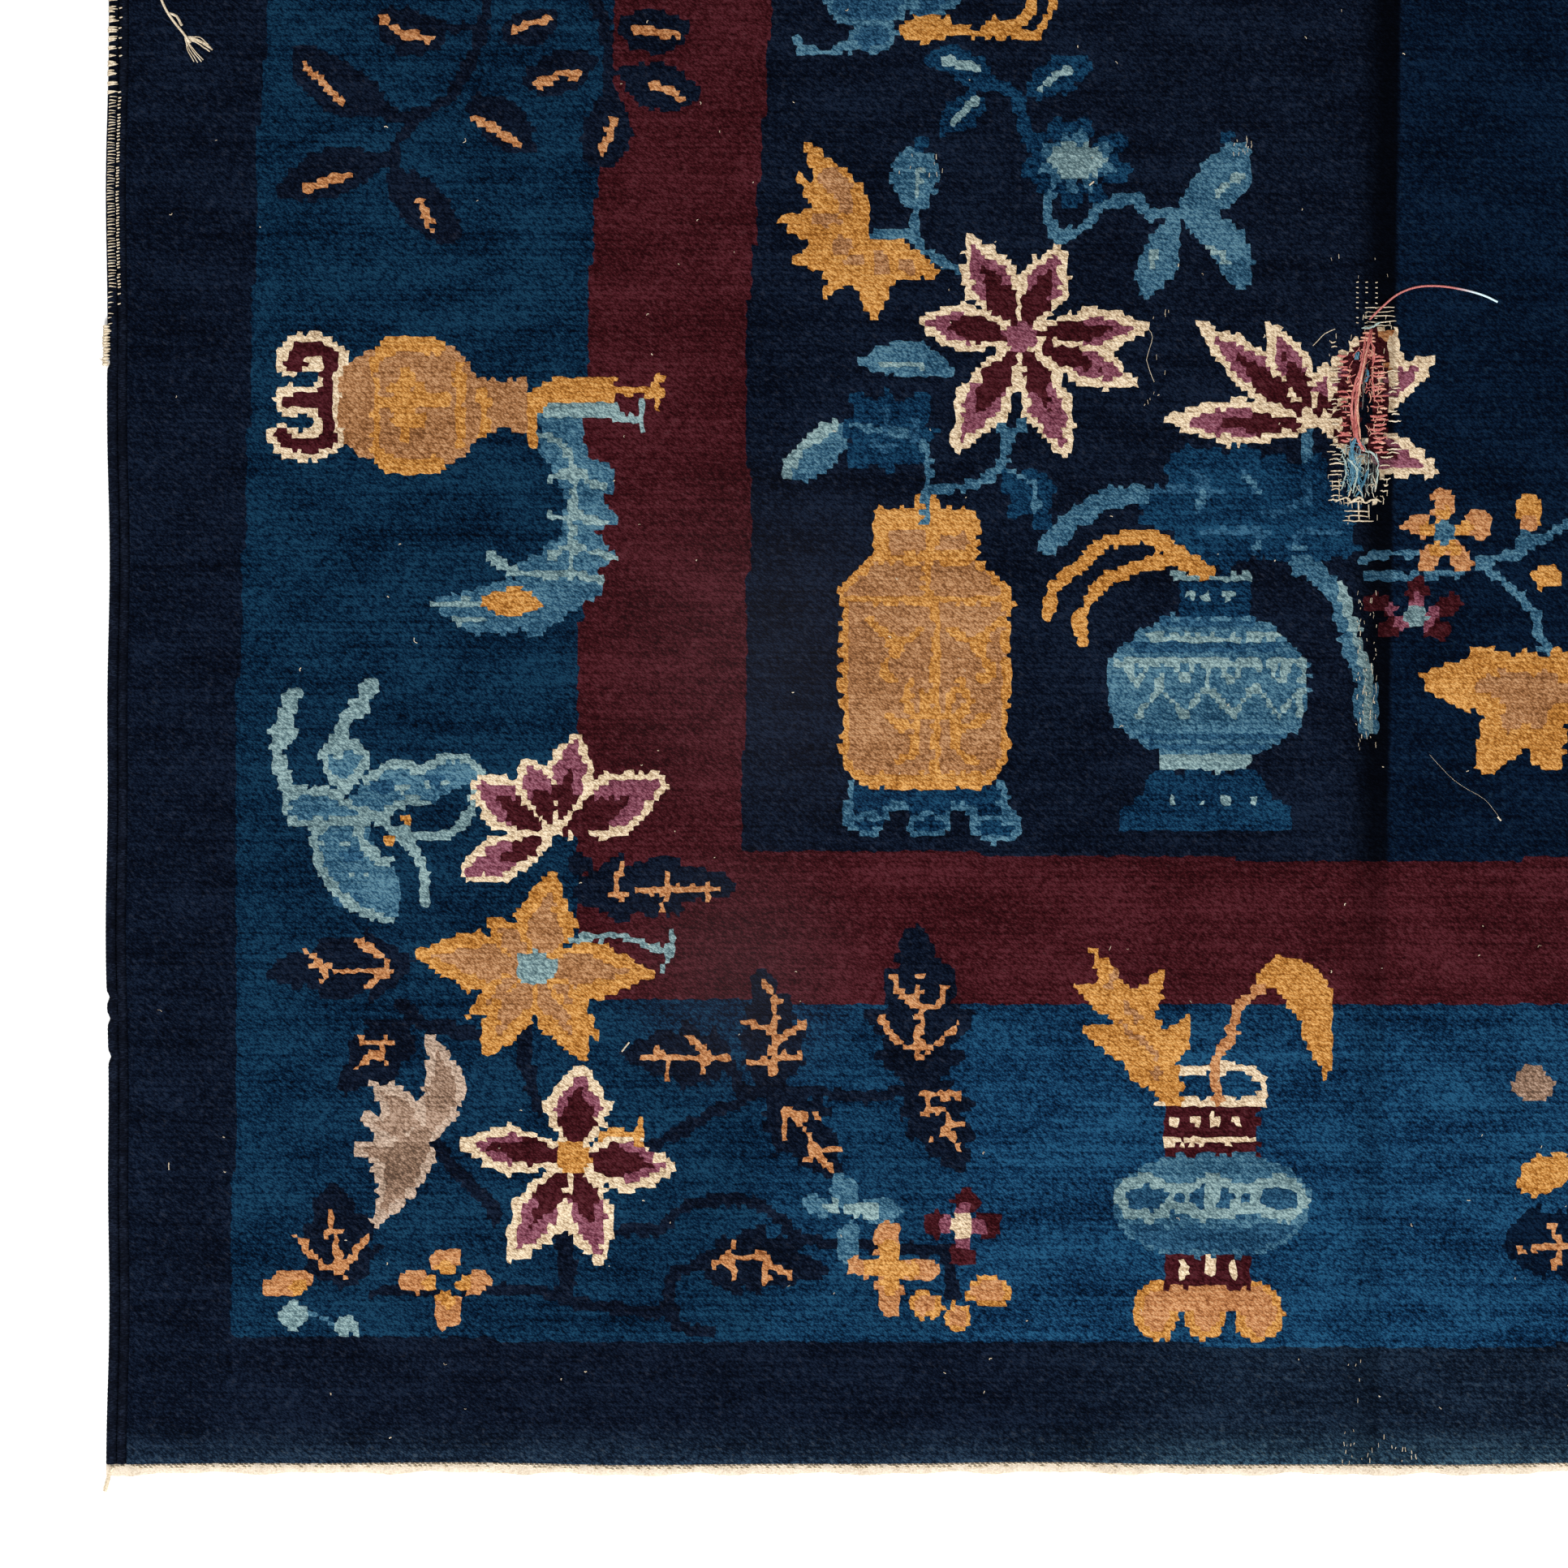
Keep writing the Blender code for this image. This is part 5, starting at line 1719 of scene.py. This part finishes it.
def addDarn(look):
    rng = np.random.default_rng(53)
    threads = {name: [] for name in look}
    for name, across, along, pitch, radius, share in darnRows:
        for v in np.arange(*along, pitch):
            if rng.uniform() < share:
                start, end = across[0] + rng.uniform(0, 6), across[1] - rng.uniform(0, 6)
                rise = v + rng.uniform(-1.3, 1.3)
                points = [(start, rise), ((start + end) / 2, rise + rng.uniform(-1.6, 1.6)), (end, rise)]
                thick = radius / 1000 * rng.uniform(0.75, 1.25)
                line = lyingLine(points, 0.6 * thick + 0.0004, rng, 0.6, sink=0.0014)
                swell = np.interp(np.linspace(0, 1, len(line)), [0, 0.3, 0.7, 1], [0.5, 1, 1, 0.5])
                threads[name].append((line, thick * swell))
    for name, radius, lift, points in darnYarns:
        plies = max(1, round(radius * 2.2))
        thick = radius / 1000 / plies ** 0.5
        for k in range(plies):
            line = lyingLine(points, lift / 1000, rng, 1.1, 6, sink=0.0016)
            turn = k * math.tau / plies + np.arange(len(line)) * 0.5
            line[:, 0] += (radius / 1000 - thick) * np.cos(turn)
            line[:, 2] += (radius / 1000 - thick) * 0.6 * np.sin(turn)
            swell = np.interp(np.linspace(0, 1, len(line)), [0, 0.15, 0.85, 1], [0.4, 1, 1, 0.4])
            threads[name].append((line, thick * swell * rng.uniform(0.8, 1.2, len(line))))
    for name, centre, reach, count, length, radius in darnTangles:
        for k in range(count):
            middle = np.array(centre) + rng.uniform(-1, 1, 2) * reach
            turn = rng.normal(math.pi / 2, 0.6)
            ahead = np.array([math.cos(turn), math.sin(turn)]) * length * rng.uniform(0.3, 0.7)
            points = [middle - ahead, middle + rng.uniform(-2.5, 2.5, 2), middle + ahead]
            line = lyingLine(points, rng.uniform(0.0008, 0.0040), rng, 0.8, sink=0.0010)
            threads[name].append((line, np.full(len(line), radius / 1000 * rng.uniform(0.6, 1.2))))
    for u in darnDots["columns"]:
        for v in np.arange(darnDots["low"], darnDots["high"], darnDots["pitch"]):
            if rng.uniform() < 0.85:
                line = lyingLine([(u - 1.2, v), (u + 1.2, v + rng.uniform(-0.6, 0.6))], 0.0006, rng)
                threads["cotton"].append((line, np.full(len(line), darnDots["radius"] / 1000)))
    low, high = bareWarps["low"], bareWarps["high"]
    for u in bareWarps["columns"]:
        points = [(u, low), (u + rng.uniform(-1, 1), (low + high) / 2), (u, high)]
        line = lyingLine(points, 0.0004, rng, 0.4)
        threads["grey"].append((line, np.full(len(line), bareWarps["radius"] / 1000)))
    pieces = []
    for name, own in threads.items():
        pieces.append(finishPiece(tubesPiece("darn_" + name + "_threads", own), look[name]))
    return pieces


# Lint: the flecks that show in the photograph, then many small ones all over.
seenLint = [  # points, radius
    ([(554, 450), (562, 460)], 0.0008),
    ([(1115, 1238), (1126, 1220), (1120, 1196), (1128, 1172)], 0.00025),
    ([(1299, 1211), (1312, 1224), (1323, 1229)], 0.0004),
    ([(1425, 770), (1452, 742), (1484, 722), (1500, 702)], 0.00012),
    ([(1498, 703), (1502, 699)], 0.0008),
    ([(1058, 1384), (1063, 1388)], 0.0008),
    ([(66, 1569), (74, 1566), (80, 1556)], 0.0013),
    ([(84, 1543), (97, 1541), (111, 1532)], 0.0009),
    ([(84, 1543), (98, 1539), (113, 1530)], 0.0008),
    ([(85, 1541), (97, 1537), (110, 1528)], 0.0007),
    ([(85, 1544), (99, 1543), (109, 1535)], 0.0005),
    ([(83, 1543), (86, 1530), (93, 1517)], 0.0005),
    ([(83, 1543), (88, 1530), (97, 1516)], 0.0005),
    ([(84, 1542), (90, 1531), (101, 1517)], 0.0006),
    ([(84, 1542), (92, 1531), (103, 1519)], 0.0005),
]
lintCount = 420
lintPlumes = [  # at the tips of two worn buds, then along the rubbed fold: middle, spread, count
    ((1220, 1424), (13, 9), 14),
    ((876, 1402), (24, 14), 9),
    ((1370, 18), (50, 14), 22),
    ((1342, 84), (12, 60), 8),
    ((1357, 865), (11, 90), 70),
    ((1350, 1160), (36, 150), 50),
    ((1130, 1200), (14, 60), 10),
]


def addLint(material):
    rng = np.random.default_rng(67)
    strands = []
    for points, radius in seenLint:
        line = lyingLine(points, 0.0006, rng, 0.5)
        strands.append((line, np.full(len(line), radius)))
    for middle, reach, count in lintPlumes:
        for k in range(count):
            u, v = np.array(middle) + rng.uniform(-1, 1, 2) * reach
            line = lyingLine([(u, v), (u + rng.uniform(-1, 1), v + rng.uniform(1.5, 6))], 0.0004, rng)
            strands.append((line, np.full(len(line), rng.uniform(0.00015, 0.00038))))
    for k in range(lintCount):
        u = rng.uniform(40, widthMm - 40)
        v = rng.uniform(30, lengthMm - 30)
        turn, size = rng.uniform(0, math.tau), rng.gamma(2.0, 0.35) + 0.6
        bend = rng.uniform(-0.8, 0.8)
        ahead = np.array([math.cos(turn), math.sin(turn)]) * size
        aside = np.array([-ahead[1], ahead[0]]) * bend
        points = [(u, v), (u + ahead[0] + aside[0], v + ahead[1] + aside[1]),
                  (u + 2 * ahead[0], v + 2 * ahead[1])]
        line = lyingLine(points, 0.0005, rng, 0.2, 2)
        strands.append((line, np.full(len(line), rng.uniform(0.0002, 0.00055))))
    return finishPiece(tubesPiece("lint", strands, 4), material)


# Floor and studio light.
studio = {
    "floorHalf": 6.0,
    "lights": [
        {"name": "key", "at": (-1.9, -6.2, 5.0), "size": 2.2, "power": 660},
        {"name": "fill", "at": (3.8, -1.0, 4.6), "size": 4.0, "power": 130},
        {"name": "back", "at": (-3.6, 3.6, 4.6), "size": 4.0, "power": 120},
    ],
    "sky": 0.38,
    "target": (-0.6, -0.6, 0.0),
}


def addStudio():
    deselectAll()
    bpy.ops.mesh.primitive_plane_add(size=2 * studio["floorHalf"], location=(0, 0, 0))
    floor = bpy.context.object
    floor.name = "floor"
    floor.data.materials.append(floorMaterial())
    for light in studio["lights"]:
        data = bpy.data.lights.new(light["name"], "AREA")
        data.shape = "SQUARE"
        data.size = light["size"]
        data.energy = light["power"]
        lamp = bpy.data.objects.new(light["name"], data)
        lamp.location = light["at"]
        toTarget = Vector(studio["target"]) - lamp.location
        lamp.rotation_euler = toTarget.to_track_quat("-Z", "Y").to_euler()
        bpy.context.scene.collection.objects.link(lamp)
    world = bpy.data.worlds.new("studio")
    world.use_nodes = True
    world.node_tree.nodes["Background"].inputs["Color"].default_value = (1.0, 1.0, 1.0, 1.0)
    world.node_tree.nodes["Background"].inputs["Strength"].default_value = studio["sky"]
    bpy.context.scene.world = world
    bpy.context.scene.view_settings.view_transform = "Standard"  # the photograph's plain contrast


cottonLook = spunMaterial("unspun_cotton", cottonTones, (500.0,) * 3)
webLook = spunMaterial("web_cotton", webTones, (500.0,) * 3)
greyLook = spunMaterial("grey_cotton", greyCottonTones)
overcastLook = spunMaterial("overcast_wool", overcastTones, (260.0, 1100.0, 260.0), turn=0.55, bump=0.0010)
yarnScale = (1500.0, 500.0, 900.0)
yarnLooks = {
    "rose": spunMaterial("rose_yarn", roseTones, yarnScale),
    "salmon": spunMaterial("salmon_yarn", salmonTones, yarnScale),
    "paleBlue": spunMaterial("pale_blue_yarn", paleBlueTones, yarnScale),
    "faded": spunMaterial("faded_yarn", fadedTones, yarnScale),
    "cotton": cottonLook,
    "grey": greyLook,
}
for yarnName, yarnLook in (("darning_yarn_tail_wool", tailMaterial()),
                           ("loose_cotton_thread_spun", cottonLook)):
    addLooseYarn(yarnName, looseYarns[yarnName], yarnLook)
print("camera and loose yarns made")

pilePieces = addPile({name: woolMaterial(name) for name in woolNames})
foundation = addFoundation(cottonLook)
print("pile and foundation made")
edgePieces = addEdgeCords(overcastLook, cottonLook)
edgePieces += addWeb(-1, "near_web", "end_web_near", webLook, cottonLook)
edgePieces += addWeb(1, "far_web", "end_web_far", webLook, cottonLook)
print("edge cords and webs made")
darnPieces = addDarn(yarnLooks)
lint = addLint(cottonLook)
print("darn and lint made")
addStudio()
